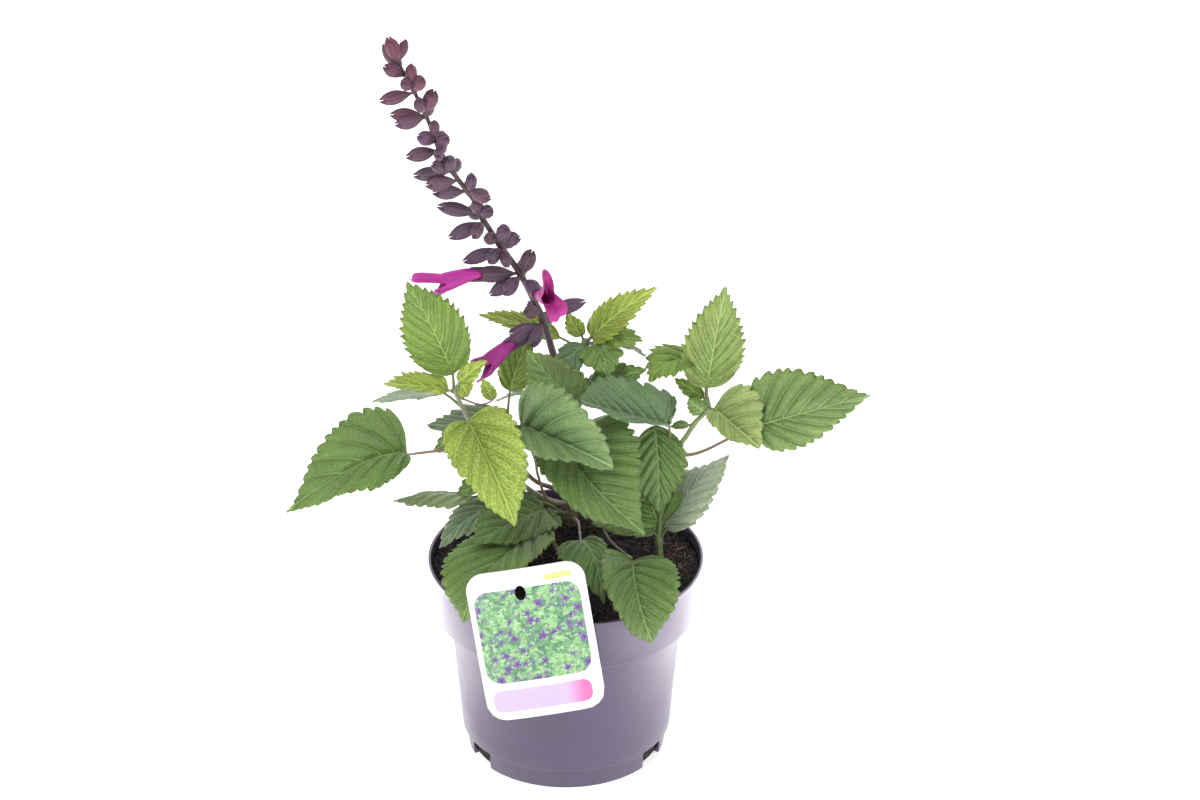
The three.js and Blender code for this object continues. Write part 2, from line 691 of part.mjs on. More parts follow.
const TOP_STEM = {
  joints: [[5.4, 27.6, 161.5], [7.5, 28.5, 170], [6, 29, 181], [8, 29, 195], [10, 28, 200]],
  radius: 1.2,
  endRadius: 0.8,
  leaves: [
    { // long, yellow-green, to the right
      stalk: [[9, 28, 198]], base: [12, 28, 201], tip: [42, 20, 231],
      width: 17, face: [-0.3, -0.7, 0.5], bow: 4, fold: 12, heart: 0.1,
    },
    { // small, its grey underside to the front
      stalk: [[9, 28, 198]], base: [14, 31, 202], tip: [25, 34, 211],
      width: 10, face: [0.2, 0.9, 0.2], bow: 1, fold: 6,
    },
    { // small, upright to the left
      stalk: [[9, 28, 198]], base: [8, 29, 201], tip: [1, 28, 214],
      width: 9, face: [-0.3, -0.8, 0.4], bow: 1, fold: 8,
    },
    { // bright, to the right
      stalk: [[9, 28, 197]], base: [15, 27, 200], tip: [36, 22, 203],
      width: 16, face: [0, -0.5, 0.85], bow: 3, fold: 8,
    },
    { // under it, its grey underside to the front
      stalk: [[9, 28, 196]], base: [16, 28, 197], tip: [38, 28, 192],
      width: 14, face: [0, 0.6, 0.75], bow: 3, fold: 4,
    },
    { // dark, hanging to the left
      stalk: [[10, 28, 200]], base: [9, 22, 201], tip: [-3, 13, 186],
      width: 15, face: [-0.4, -0.7, 0.6], bow: 4, fold: 4,
    },
    { // green, hanging to the front
      stalk: [[10, 28, 200]], base: [13, 24, 200], tip: [21, 8, 191],
      width: 22, face: [0.1, -0.3, 0.9], bow: 4, fold: -4,
    },
    { // behind the spike, to the left
      stalk: [[8, 29, 194], [3, 32, 196]], stalkRadius: 0.6, base: [-2, 33, 199], tip: [-40, 34, 211],
      width: 14, face: [0, -0.4, 0.9], bow: 2, fold: 8,
    },
    { // low, to the right
      stalk: [[6, 28, 167]], base: [9, 25, 170], tip: [38, 18, 190],
      width: 19, face: [-0.1, -0.6, 0.8], bow: 4, fold: 8,
    },
  ],
};

const BACK_STEM = {
  joints: [[22, 36, 82], [22, 36, 96], [23, 40, 108], [21, 44, 122], [20, 45, 130]],
  radius: 1.5,
  endRadius: 1,
  leaves: [
    {
      stalk: [[22, 41, 112]], base: [26, 47, 114], tip: [42, 74, 112],
      width: 26, face: [0.1, 0.3, 1], bow: 6, fold: 8, heart: 0.1,
    },
    {
      stalk: [[21, 44, 122]], base: [16, 50, 124], tip: [2, 78, 118],
      width: 30, face: [-0.1, 0.3, 1], bow: 6, fold: 8, heart: 0.1,
    },
    {
      stalk: [[20, 45, 130]], base: [25, 42, 134], tip: [36, 30, 140],
      width: 15, face: [0.2, 0.2, 1], bow: 2, fold: 10,
    },
  ],
};

// ---- Flower spike -------------------------------------------------------------------------

const SPIKE_STEM = [
  [3, 26, 162.7], [2, 24, 170], [-3, 23, 186], [-6, 22, 198], [-10, 21, 214], [-14, 20, 224], [-20, 19, 238],
  [-31, 17, 257], [-38, 16, 270], [-41, 15, 278], [-49, 13, 291], [-56, 11, 305],
  [-61, 10, 320], [-66, 8, 333], [-74, 6, 351],
];
const SPIKE_RADIUS = { foot: 1.8, top: 0.7 };

// Each calyx: height of its joint on the spike, heading (0 is right, 180 left, 270 front), rise
// above level, both in degrees, and the length from the joint to the calyx's tip.
const CALYCES = [
  [212, 188, -14, 16], [213, 243, -28, 14], [211, 80, -5, 12],
  [217, 225, 30, 11], [217, 12, 12, 21], [216, 120, 5, 12],
  [238, 325, 66, 15], [238, 197, -27, 16], [238, 233, -18, 13], [237, 90, 5, 13],
  [253, 190, -17, 18], [253, 242, -8, 12], [253, 283, -16, 12], [254, 60, -10, 12],
  [257, 325, 20, 13], [256, 230, 35, 10], [257, 300, 45, 14],
  [267, 193, -21, 17], [267, 245, -12, 12], [269, 120, -5, 12],
  [271, 175, 9, 19], [271, 253, 53, 11], [271, 301, 30, 11],
  [282, 294, 66, 12], [283, 320, 3, 13], [283, 193, 4, 15], [282, 90, 0, 12],
  [289, 201, 1, 15], [294, 183, -6, 17], [295, 264, 48, 11], [295, 222, 28, 12], [294, 80, -5, 12],
  [303, 268, 54, 10],
  [305, 198, -3, 15], [305, 267, 12, 11], [309, 222, 32, 12], [311, 266, 65, 11], [309, 303, 32, 10],
  [308, 80, 0, 11],
  [323, 188, 5, 15], [322, 202, -4, 14], [324, 242, 54, 11], [324, 324, 66, 13], [323, 80, 0, 11],
  [335, 187, -12, 15], [336, 306, 48, 11], [337, 242, 38, 10], [335, 90, 0, 10],
  [338, 275, 74, 12], [343, 206, 34, 12], [345, 144, 46, 15], [349, 162, 68, 13], [350, 60, 55, 10],
];

// The open flowers: the joint that each grows from, the mouth of its calyx, and the tips of its
// hood and of its lower lip.
const BLOOM = {
  root: 0.6, // share of the calyx's length where the flower's tube starts inside it
  sides: 7,
  rings: [
    { at: 0, radius: 1.2 },
    { at: 0.43, radius: 1.8 },
    { at: 0.7, radius: 2.8 },
    { at: 1, radius: 3.2 },
    { at: 0.85, radius: 2.2 },
  ],
};
const BLOOMS = {
  bloom_left: { joint: [-21, 19, 239], mouth: [-43, 12, 242], hood: [-70, 4, 244], lip: [-58, 4, 234] },
  bloom_front: { joint: [-19, 19, 236], mouth: [-11, 8, 233], hood: [-9, -1, 250], lip: [-1, -5, 226] },
  bloom_low: { joint: [-11, 21, 212], mouth: [-27, 11, 205], hood: [-41, 2, 203], lip: [-40, 0, 192] },
};

/** The place on the spike's stem at a height. */
function onSpike(z) {
  const above = Math.max(1, SPIKE_STEM.findIndex((p) => p[2] >= z));
  const [low, high] = [vec(SPIKE_STEM[above - 1]), vec(SPIKE_STEM[above])];
  return low.lerp(high, (z - low.z) / (high.z - low.z));
}

/** A calyx on its short stalk: a bell, hollow at the mouth, with three pointed lobes. */
function calyxSolid(joint, tip, radius, floor) {
  const rings = [
    { at: 0, radius: CALYX.stalkRadius },
    { at: 0.26, radius: CALYX.stalkRadius },
    { at: 0.55, radius },
    { at: 1, radius: radius * 0.78, notch: 0.15 },
    { at: floor, radius: radius * 0.6 },
  ];
  return skin([joint, tip], rings, CALYX.sides);
}

/** The direction that a heading and a rise give. */
function pointing(heading, rise) {
  const level = Math.cos(radians(rise));
  return new THREE.Vector3(
    Math.cos(radians(heading)) * level,
    Math.sin(radians(heading)) * level,
    Math.sin(radians(rise)),
  );
}

function spikeSolid() {
  const stem = rod(SPIKE_STEM.map(vec), SPIKE_RADIUS.foot, SPIKE_RADIUS.top, 4, 16);
  const buds = CALYCES.map(([z, heading, rise, length]) => {
    const joint = onSpike(z);
    const tip = joint.clone().addScaledVector(pointing(heading, rise), length);
    return calyxSolid(joint, tip, Math.min(CALYX.girth, length * 0.42) / 2, 0.72);
  });
  const open = Object.values(BLOOMS).map(({ joint, mouth }) => (
    calyxSolid(vec(joint), vec(mouth), CALYX.girth * 0.56, BLOOM.root)));
  return fuse([stem, ...buds, ...open]);
}

/** An open flower: a tube that widens out of the calyx, a narrow hood and a broad lower lip. */
function bloomSolid({ joint, mouth, hood, lip }) {
  const axis = vec(mouth).sub(vec(joint)).normalize();
  const root = vec(joint).lerp(vec(mouth), BLOOM.root).addScaledVector(axis, FIT);
  const throat = vec(hood).lerp(vec(lip), 0.5).lerp(vec(mouth), 0.45);
  const tube = skin([root, vec(mouth), throat], BLOOM.rings, BLOOM.sides);
  const spread = vec(hood).sub(vec(lip)).normalize();
  const hoodFoot = throat.clone().addScaledVector(spread, 2).addScaledVector(axis, -3);
  const hoodBend = hoodFoot.clone().lerp(vec(hood), 0.6).addScaledVector(spread, 1.5);
  const upper = rod([hoodFoot, hoodBend, vec(hood)], 2, 0.8, 5, 4);
  const lipFoot = throat.clone().addScaledVector(spread, -2.2).addScaledVector(axis, -2);
  const lower = bladeSolid({
    base: lipFoot.toArray(),
    tip: lip,
    face: spread.toArray(),
    width: 9,
    bow: 1.5,
    fold: 10,
  });
  return fuse([tube, upper, lower]);
}

// ---- Assembly -----------------------------------------------------------------------------

/** A stem's rod, a little thicker: it cuts the seat of each shoot that leaves the stem. */
function stemSeat({ joints, radius, endRadius }) {
  return rod(joints.map(vec), radius + FIT * 1.5, endRadius + FIT * 1.5, 4, stemSteps(joints));
}

/** The hole that a stem stands in, a little deeper than its foot. */
function stemHole(stem) {
  const wide = stemSeat(stem);
  return wide.add(wide.translate([0, 0, -FIT]));
}

const seat = stemSeat(MAIN_STEM);
const holes = [MAIN_STEM, FRONT_STEM, RIGHT_STEM, BACK_STEM].map(stemHole);
const plant = new THREE.Group();
plant.add(meshOf(potSolid(), 'pot', 0x76697f, 0.45));
plant.add(meshOf(soilSolid([...holes, tongueSolid(FIT)]), 'soil', 0x1f1a1c, 0.95));
plant.add(meshOf(cardSolid().add(tongueSolid(0)), 'plant_label', 0xf2eef4, 0.4));
plant.add(meshOf(leafyStemSolid(MAIN_STEM), 'main_leafy_stem', 0x5c8a4a, 0.6));
plant.add(meshOf(leafyStemSolid(FRONT_STEM), 'front_leafy_stem', 0x6c9b4c, 0.6));
plant.add(meshOf(leafyStemSolid(LEFT_STEM).subtract(seat), 'left_leafy_stem', 0x9bbf55, 0.6));
plant.add(meshOf(leafyStemSolid(INNER_STEM).subtract(seat), 'inner_leafy_stem', 0x7fa34e, 0.6));
plant.add(meshOf(leafyStemSolid(RIGHT_STEM), 'right_leafy_stem', 0x7ba85a, 0.6));
plant.add(meshOf(leafyStemSolid(TOP_STEM).subtract(seat), 'top_leafy_stem', 0x8fb552, 0.6));
plant.add(meshOf(leafyStemSolid(BACK_STEM), 'back_leafy_stem', 0x5c8a4a, 0.6));
plant.add(meshOf(spikeSolid().subtract(seat), 'flower_spike', 0x4e3443, 0.7));
for (const [name, bloom] of Object.entries(BLOOMS)) {
  plant.add(meshOf(bloomSolid(bloom), name, 0xb02a86, 0.5));
}

export default plant;
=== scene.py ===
import math
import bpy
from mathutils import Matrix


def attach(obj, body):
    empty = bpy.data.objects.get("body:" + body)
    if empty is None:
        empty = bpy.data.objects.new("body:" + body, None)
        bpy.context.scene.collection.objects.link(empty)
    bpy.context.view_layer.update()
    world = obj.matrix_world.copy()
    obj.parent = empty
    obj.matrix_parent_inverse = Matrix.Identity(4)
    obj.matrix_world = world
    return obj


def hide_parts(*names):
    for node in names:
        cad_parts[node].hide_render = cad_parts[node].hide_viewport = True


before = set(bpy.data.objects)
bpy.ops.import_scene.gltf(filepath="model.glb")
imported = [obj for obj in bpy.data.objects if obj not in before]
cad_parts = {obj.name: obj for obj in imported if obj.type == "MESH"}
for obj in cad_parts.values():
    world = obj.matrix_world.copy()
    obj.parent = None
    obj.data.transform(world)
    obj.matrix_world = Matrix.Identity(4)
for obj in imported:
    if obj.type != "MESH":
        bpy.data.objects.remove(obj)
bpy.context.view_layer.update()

from types import SimpleNamespace

import bmesh
import bpy
import numpy as np
from mathutils import noise

# Potted sage: the looks of the living plant, its soil, pot and printed card.
#
# Every place and size below is in millimetres, in the frame of the solids: +Z is up, -Y is the
# front, and the origin is the centre of the pot's underside. A mesh is made in metres.

MM = 0.001


# ---- Camera, floor and light ------------------------------------------------------------------

VIEW = {"place": (0, -1.73205, 1.1), "pitch": 62.1, "yaw": -0.535, "lens": 126.93, "sensor": 36}
FLOOR_RADIUS = 14.0  # metres


def new_object(name, data):
    made = bpy.data.objects.new(name, data)
    bpy.context.scene.collection.objects.link(made)
    return made


def put_camera():
    lens = bpy.data.cameras.new("camera")
    lens.lens, lens.sensor_width = VIEW["lens"], VIEW["sensor"]
    lens.clip_start, lens.clip_end = 0.1, 60
    camera = new_object("camera", lens)
    camera.location = VIEW["place"]
    camera.rotation_euler = (math.radians(VIEW["pitch"]), 0, math.radians(VIEW["yaw"]))
    bpy.context.scene.camera = camera


def put_softbox(name, place, size, power):
    """A square soft light that looks at the middle of the plant."""
    light = bpy.data.lights.new(name, "AREA")
    light.shape, light.size, light.energy = "SQUARE", size, power
    lamp = new_object(name, light)
    lamp.location = place
    aim = np.array([0, 0, 0.15]) - np.array(place)
    yaw = math.atan2(aim[1], aim[0]) - math.pi / 2
    lamp.rotation_euler = (math.pi / 2 + math.atan2(aim[2], math.hypot(aim[0], aim[1])), 0, yaw)


def put_studio():
    put_camera()
    scene = bpy.context.scene
    scene.view_settings.view_transform = "Standard"
    world = bpy.data.worlds.new("white_room")
    world.use_nodes = True
    world.node_tree.nodes["Background"].inputs["Color"].default_value = (1, 0.99, 1, 1)
    world.node_tree.nodes["Background"].inputs["Strength"].default_value = 0.62
    scene.world = world
    put_softbox("key_light", (-1.0, -1.5, 2.2), 1.2, 30)
    put_softbox("fill_light", (1.7, -0.9, 1.5), 1.3, 14)
    put_softbox("back_light", (0.3, 1.9, 1.9), 1.3, 16)


# ---- Node helpers -----------------------------------------------------------------------------

VALUE, WHOLE, VECTOR = "NodeSocketFloat", "NodeSocketInt", "NodeSocketVector"
GEOMETRY, MATERIAL, OBJECT = "NodeSocketGeometry", "NodeSocketMaterial", "NodeSocketObject"


class Wire:
    """An output of a node. Arithmetic on wires adds the Math nodes that work it out."""

    def __init__(self, socket):
        self.socket = socket

    def __abs__(self):
        return calc("ABSOLUTE", self)

    def __add__(self, other):
        return calc("ADD", self, other)

    def __radd__(self, other):
        return calc("ADD", other, self)

    def __sub__(self, other):
        return calc("SUBTRACT", self, other)

    def __rsub__(self, other):
        return calc("SUBTRACT", other, self)

    def __mul__(self, other):
        return calc("MULTIPLY", self, other)

    def __rmul__(self, other):
        return calc("MULTIPLY", other, self)

    def __truediv__(self, other):
        return calc("DIVIDE", self, other)

    def __rtruediv__(self, other):
        return calc("DIVIDE", other, self)


class Outputs:
    """The outputs of a node, by number or name, each as a wire."""

    def __init__(self, node):
        self.node = node

    def __getitem__(self, key):
        return Wire(self.node.outputs[key])


def add(tree, kind, inputs=None, **settings):
    """Adds a node, sets its properties, and fills its inputs with values or wires."""
    node = tree.nodes.new(kind)
    for key, value in settings.items():
        setattr(node, key, value)
    for key, value in (inputs or {}).items():
        if isinstance(value, Wire):
            tree.links.new(value.socket, node.inputs[key])
        else:
            node.inputs[key].default_value = value
    return Outputs(node)


def add_after(values, kind, inputs, **settings):
    """Adds a node to the tree that the first wire among the values is in."""
    tree = next(value.socket.id_data for value in values if isinstance(value, Wire))
    return add(tree, kind, inputs, **settings)


def calc(operation, a, b=0.0, c=0.0, clamp=False):
    values = (a, b, c)
    return add_after(values, "ShaderNodeMath", dict(enumerate(values)),
                  operation=operation, use_clamp=clamp)[0]


def vectors(operation, *values):
    return add_after(values, "ShaderNodeVectorMath", dict(enumerate(values)), operation=operation)[0]


def scaled(vector, factor):
    return add_after([factor], "ShaderNodeVectorMath", {0: vector, 3: factor}, operation="SCALE")[0]


def split(vector):
    return add_after([vector], "ShaderNodeSeparateXYZ", {0: vector})


def joined(*parts):
    return add_after(parts, "ShaderNodeCombineXYZ", dict(enumerate(parts)))[0]


def ramp(value, low, high, to_low=0.0, to_high=1.0):
    """A soft step from to_low at low to to_high at high."""
    inputs = {"Value": value, "From Min": low, "From Max": high, "To Min": to_low, "To Max": to_high}
    return add_after([value], "ShaderNodeMapRange", inputs, interpolation_type="SMOOTHSTEP")[0]


def mixed(share, a, b):
    """Colour a turned into colour b by the share."""
    inputs = {0: share, 6: a, 7: b}
    return add_after(inputs.values(), "ShaderNodeMix", inputs, data_type="RGBA")[2]


def noise_at(place, scale, detail=2.0, distortion=0.0, **settings):
    inputs = {"Vector": place, "Scale": scale, "Detail": detail, "Distortion": distortion}
    return add_after([place], "ShaderNodeTexNoise", inputs, **settings)


def cells_at(place, scale, **settings):
    return add_after([place], "ShaderNodeTexVoronoi", {"Vector": place, "Scale": scale}, **settings)


def mapped(place, scale, rotation=(0, 0, 0)):
    inputs = {"Vector": place, "Scale": scale, "Rotation": rotation}
    return add_after([place], "ShaderNodeMapping", inputs)[0]


def new_group(name, kind, inputs):
    """A node group and its inputs, each given as a default value or else as a kind of socket."""
    group = bpy.data.node_groups.new(name, kind)
    sockets = {float: VALUE, int: WHOLE, tuple: VECTOR}
    for label, value in inputs.items():
        socket = sockets.get(type(value), value)
        made = group.interface.new_socket(name=label, in_out="INPUT", socket_type=socket)
        if type(value) in sockets:
            made.default_value = value
    return group, Outputs(group.nodes.new("NodeGroupInput"))


def close_group(group, socket=VALUE, **outputs):
    """Gives a group its outputs."""
    for label in outputs:
        group.interface.new_socket(name=label, in_out="OUTPUT", socket_type=socket)
    leave = group.nodes.new("NodeGroupOutput")
    for label, wire in outputs.items():
        group.links.new(wire.socket, leave.inputs[label])
    return group


def use(group, inputs):
    return add_after(inputs.values(), "ShaderNodeGroup", inputs, node_tree=group)


def paint(red, green, blue):
    """A colour given as 0 to 255 in sRGB, as linear light."""
    def linear(v):
        v /= 255
        return v / 12.92 if v <= 0.04045 else ((v + 0.055) / 1.055) ** 2.4
    return (linear(red), linear(green), linear(blue), 1)


# ---- Shader groups ----------------------------------------------------------------------------


def make_mottle_group():
    """Uneven patches: a value that wanders round 0, at two sizes."""
    group, given = new_group("mottle", "ShaderNodeTree", {
        "Place": VECTOR, "Scale": 100.0, "Detail Scale": 600.0, "Amount": 0.2})
    broad = noise_at(given["Place"], given["Scale"], 3.0)[0]
    fine = noise_at(given["Place"], given["Detail Scale"])[0]
    return close_group(group, Shift=(broad + fine * 0.5 - 0.75) * given["Amount"])


def make_vein_group():
    """A leaf's veins: Vein is the rib and side veins, Net the fine network between them, and a third
    output the painted shade in the grooves just beside them.
    """
    group, given = new_group("leaf_veins", "ShaderNodeTree", {
        "Blade": VECTOR, "Vein Line": VECTOR, "Flat": VECTOR,
        "Rib Width": 0.85, "Side Width": 0.55, "Net Cell": 1.8})
    blade, line, flat = (split(given[label]) for label in ("Blade", "Vein Line", "Flat"))
    from_rib = abs(flat[1])
    rib_edge = given["Rib Width"] * ramp(blade[0], 0, 1, 1, 0.35)
    rib = calc("SUBTRACT", 1, from_rib / rib_edge, clamp=True)
    to_line = calc("PINGPONG", line[0], 0.5) * line[1]
    side_edge = given["Side Width"] * ramp(abs(blade[1]), 0, 1, 1, 0.3)
    side = calc("SUBTRACT", 1, to_line / side_edge, clamp=True)
    vein = calc("MAXIMUM", rib, side * 0.95)
    near = calc("MINIMUM", from_rib - rib_edge, to_line)
    # Painted shade: 1 in the grooves just beside the rib and side veins, fading out within 1.5 mm.
    strip = ramp(near, 0.0, 1.5, 1, 0) * calc("SUBTRACT", 1, vein, clamp=True)
    # The network is stretched a little along the side veins.
    place = joined(flat[0] - from_rib * 0.6 + flat[2], flat[1] * 0.75)
    bent = vectors("ADD", noise_at(place, 0.5, 1.0, noise_dimensions="2D")["Color"], place)
    scale = 1 / given["Net Cell"]
    cells, small = (
        cells_at(bent, size, feature="DISTANCE_TO_EDGE", voronoi_dimensions="2D")[0]
        for size in (scale, scale * 2.3))
    finer = ramp(small, 0.0, 0.12, 0.45, 0)
    network = calc("MAXIMUM", ramp(cells, 0.0, 0.14, 1, 0), finer)
    raised = ramp(cells, 0.0, 0.42) * 0.8 + ramp(near, -0.4, 2.0) * 1.8
    return close_group(group, Vein=vein, Net=network, Beside=strip, Height=raised + finer * -0.2)


def make_panel_group():
    """A printed panel on the card: a mask of a rectangle with round corners."""
    group, given = new_group("printed_panel", "ShaderNodeTree", {
        "Place": VECTOR, "Centre": (0, 0, 0), "Half Size": (1, 1, 0), "Corner": 2.0})
    away = vectors("ABSOLUTE", vectors("SUBTRACT", given["Place"], given["Centre"]))
    past, corner = split(vectors("SUBTRACT", away, given["Half Size"])), given["Corner"]
    x, y = (calc("MAXIMUM", past[side] + corner, 0) for side in (0, 1))
    edge = calc("SQRT", x * x + y * y) - corner
    return close_group(group, Mask=ramp(edge, -0.06, 0.06, 1, 0))


def make_dust_group():
    """Dust, smears and fine scratches on plastic: a mask of each."""
    group, given = new_group("dust_and_scratches", "ShaderNodeTree", {
        "Place": VECTOR, "Speck Scale": 900.0, "Smear Scale": 40.0})
    cells = cells_at(given["Place"], given["Speck Scale"])["Distance"]
    patch = noise_at(given["Place"], given["Smear Scale"], 4.0)[0]
    lines = noise_at(mapped(given["Place"], (1, 1, 0.06), (0.3, 0.2, 0)), 700.0, 1.0)[0]
    return close_group(
        group, Specks=ramp(cells, 0.1, 0.2, 1, 0) * ramp(patch, 0.5, 0.72),
        Smears=ramp(patch, 0.35, 0.75), Scratches=ramp(lines, 0.68, 0.76))


MOTTLE, VEINS = make_mottle_group(), make_vein_group()
PANEL, DUST = make_panel_group(), make_dust_group()


# ---- Materials --------------------------------------------------------------------------------


def new_material(name, **constants):
    """A material with one Principled shader; constants are set on the shader's own sockets."""
    material = bpy.data.materials.new(name)
    material.use_nodes = True
    shader = material.node_tree.nodes["Principled BSDF"]
    for key, value in constants.items():
        shader.inputs[key.replace("_", " ").title().replace("Ior", "IOR")].default_value = value
    return material, material.node_tree


def own(tree, name):
    """A value kept at the points of the piece."""
    return add(tree, "ShaderNodeAttribute", attribute_name=name)["Vector"]


def here(tree):
    return add(tree, "ShaderNodeTexCoord")["Object"]


def paint_node(tree, colour):
    node = tree.nodes.new("ShaderNodeRGB")
    node.outputs[0].default_value = colour
    return Wire(node.outputs[0])


def mottled(place, scale, detail_scale, amount):
    return use(MOTTLE, {
        "Place": place, "Scale": scale, "Detail Scale": detail_scale, "Amount": amount})["Shift"]


def lit(colour, shift):
    """The colour made lighter or darker by a shift round 0."""
    return scaled(colour, 1 + shift)


def finish_surface(material, colour, roughness, height=None, depth=0.0, strength=0.0, glow=None):
    """Links what varies to the material's shader; the bump's depth is in metres."""
    tree = material.node_tree
    shader = tree.nodes["Principled BSDF"]
    varied = {"Base Color": colour, "Roughness": roughness}
    if height:
        varied["Normal"] = add(tree, "ShaderNodeBump", {
            "Height": height, "Distance": depth, "Strength": strength})[0]
    if glow:
        varied["Emission Color"] = glow
    for label, wire in varied.items():
        tree.links.new(wire.socket, shader.inputs[label])
    return material


def leaf_finish():
    """A living leaf: quilted between sunken veins on top, with painted shade in the grooves beside
    them, pale and ribbed underneath.
    """
    material, tree = new_material(
        "sage_leaf", ior=1.42, sheen_weight=0.1, sheen_roughness=0.5, subsurface_weight=0.1,
        subsurface_radius=(0.5, 1.0, 0.2), subsurface_scale=0.001)
    tone, blade = own(tree, "tone"), own(tree, "blade")
    _, outward, below = split(blade)
    veins = use(VEINS, {
        "Blade": blade, "Vein Line": own(tree, "vein_line"), "Flat": own(tree, "flat")})
    patches = mottled(here(tree), 60.0, 420.0, 0.9)
    body = lit(tone, patches)
    # The leaf is yellower towards its margin, and its veins are paler than the blade.
    yellow = vectors("MULTIPLY", body, (1.45, 1.25, 0.85))
    upper = mixed(ramp(abs(outward), 0.45, 1.0) * 0.3, body, yellow)
    pale_vein = vectors("MULTIPLY_ADD", tone, (1.9, 1.75, 1.9), (0.07, 0.08, 0.04))
    net = split(own(tree, "look"))[0]
    veined = calc("MAXIMUM", veins["Vein"] * 0.85, veins["Net"] * net)
    # Painted shade: the upper face is made up to a fifth darker in the grooves beside the veins.
    upper = lit(mixed(veined, upper, pale_vein), veins["Beside"] * -0.2)
    under = mixed(0.5, body, paint(132, 146, 122))
    under = mixed(veined, under, paint(176, 188, 150))
    rough = 0.36 + veins["Net"] * 0.12 + patches * 0.3
    height = veins["Height"] * (1 - below * 1.8)
    return finish_surface(material, mixed(below, upper, under), rough, height, 0.0004, 0.6)


def stem_finish():
    """Stem and stalk: the piece's own colour, streaked along it, with soft pits."""
    material, tree = new_material("sage_stem", sheen_weight=0.15, sheen_roughness=0.4)
    streak = mapped(here(tree), (1, 1, 0.18))
    patches = mottled(streak, 260.0, 1500.0, 0.8)
    colour = lit(own(tree, "tone"), patches)
    pits = noise_at(streak, 2200.0)[0]
    return finish_surface(material, colour, 0.5 + patches * 0.2, pits, 0.00012, 0.6)


def calyx_finish():
    """Dark plum calyx: greyer on its ribs and at its foot, redder at its mouth."""
    material, tree = new_material(
        "plum_calyx", sheen_weight=0.35, sheen_roughness=0.45, sheen_tint=paint(190, 160, 175))
    place = here(tree)
    patches = mottled(place, 180.0, 1300.0, 0.9)
    rib, along, _ = split(own(tree, "shell"))
    colour = lit(own(tree, "tone"), patches)
    colour = mixed(ramp(rib, 0.25, 1.0) * 0.35, colour, paint(112, 84, 104))
    colour = mixed(ramp(along, 0.16, 0.45, 0.55, 0), colour, paint(92, 78, 82))
    colour = mixed(ramp(along, 0.86, 1.0, 0, 0.3), colour, paint(118, 62, 88))
    pits = noise_at(place, 2600.0)[0]
    return finish_surface(material, colour, 0.62 + patches * 0.2, pits, 0.0002, 0.6)


def petal_finish():
    """Magenta petal: darker in the throat, paler on the lip, with fine lines along it."""
    material, tree = new_material(
        "magenta_petal", sheen_weight=0.4, sheen_roughness=0.35, sheen_tint=paint(255, 190, 235),
        subsurface_weight=0.15, subsurface_radius=(1.0, 0.3, 0.8), subsurface_scale=0.001)
    place = here(tree)
    patches = mottled(place, 220.0, 1200.0, 0.7)
    along, around, pale = split(own(tree, "petal"))
    colour = mixed(pale * 0.5, lit(own(tree, "tone"), patches), paint(212, 84, 184))
    colour = mixed(ramp(along, 0.0, 0.35, 0.35, 0), colour, paint(138, 26, 108))
    line = ramp(calc("SINE", around * 34.0), 0.5, 1.0)
    colour = mixed(line * 0.3, colour, paint(128, 20, 96))
    velvet = noise_at(place, 3200.0)[0] + line * -0.6
    return finish_surface(material, colour, 0.5 + patches * 0.2, velvet, 0.00015, 0.6)


def pot_finish():
    """Thin mauve-grey moulded plastic with a soft gloss, faint mould rings, dust and smears."""
    material, tree = new_material(
        "mauve_pot_plastic", ior=1.52, coat_weight=0.6, coat_roughness=0.22)
    place = here(tree)
    dust = use(DUST, {"Place": place})
    patches = mottled(place, 14.0, 90.0, 0.3)
    colour = lit(paint_node(tree, paint(76, 62, 92)), patches)
    colour = mixed(dust["Specks"] * 0.6, colour, paint(74, 58, 52))
    up = split(place)[2]
    soiled = ramp(up, 0.094, 0.1, 0.0, 0.3)
    colour = mixed(soiled * dust["Smears"], colour, paint(70, 58, 56))
    height = calc("SINE", up * 2600.0) * 0.12 + noise_at(place, 1500.0)[0]
    return finish_surface(material, colour, 0.3 + dust["Smears"] * 0.14, height, 0.00004, 0.5)


def soil_finish():
    """Damp potting soil: near black, with brown and reddish crumbs."""
    material, tree = new_material("dark_potting_soil")
    place = here(tree)
    patches = mottled(place, 160.0, 900.0, 1.2)
    cells = cells_at(place, 620.0)
    tint = add(tree, "ShaderNodeSeparateColor", {0: cells["Color"]})[0]
    colour = mixed(ramp(tint, 0.55, 0.98), paint(22, 17, 20), paint(52, 38, 36))
    colour = mixed(ramp(tint, 0.96, 1.0), colour, paint(88, 64, 52))
    damp = 0.88 - ramp(patches, 0.1, 0.3) * 0.25
    return finish_surface(material, lit(colour, patches), damp, cells["Distance"], 0.0006, 0.8)


def strand_finish(name, sheen, scale, amount, roughness, pale=None):
    """Peat fibres and plant hairs: the piece's own colour, made paler by a share."""
    material, tree = new_material(name, sheen_weight=sheen)
    patches = mottled(here(tree), scale, 2500.0, amount)
    tone = own(tree, "tone")
    colour = mixed(pale, tone, paint(214, 210, 204)) if pale else tone
    return finish_surface(material, lit(colour, patches), roughness + patches * 0.2)


def floor_finish():
    """Pale floor that glows more at both sides of the pot, as over lamps; the pot mirrors it."""
    material, tree = new_material("pale_floor", emission_strength=2.2)
    place = here(tree)
    patches = mottled(place, 2.0, 30.0, 0.02)
    colour = lit(paint_node(tree, paint(246, 245, 248)), patches)
    aside = abs(split(place)[0])
    bright = ramp(aside, 0.07, 0.14, 0.25, 1) * ramp(aside, 0.3, 0.6, 1, 0.25)
    return finish_surface(material, colour, 0.9 + patches, glow=scaled((1, 0.99, 1), bright))


# ---- Meshes -----------------------------------------------------------------------------------


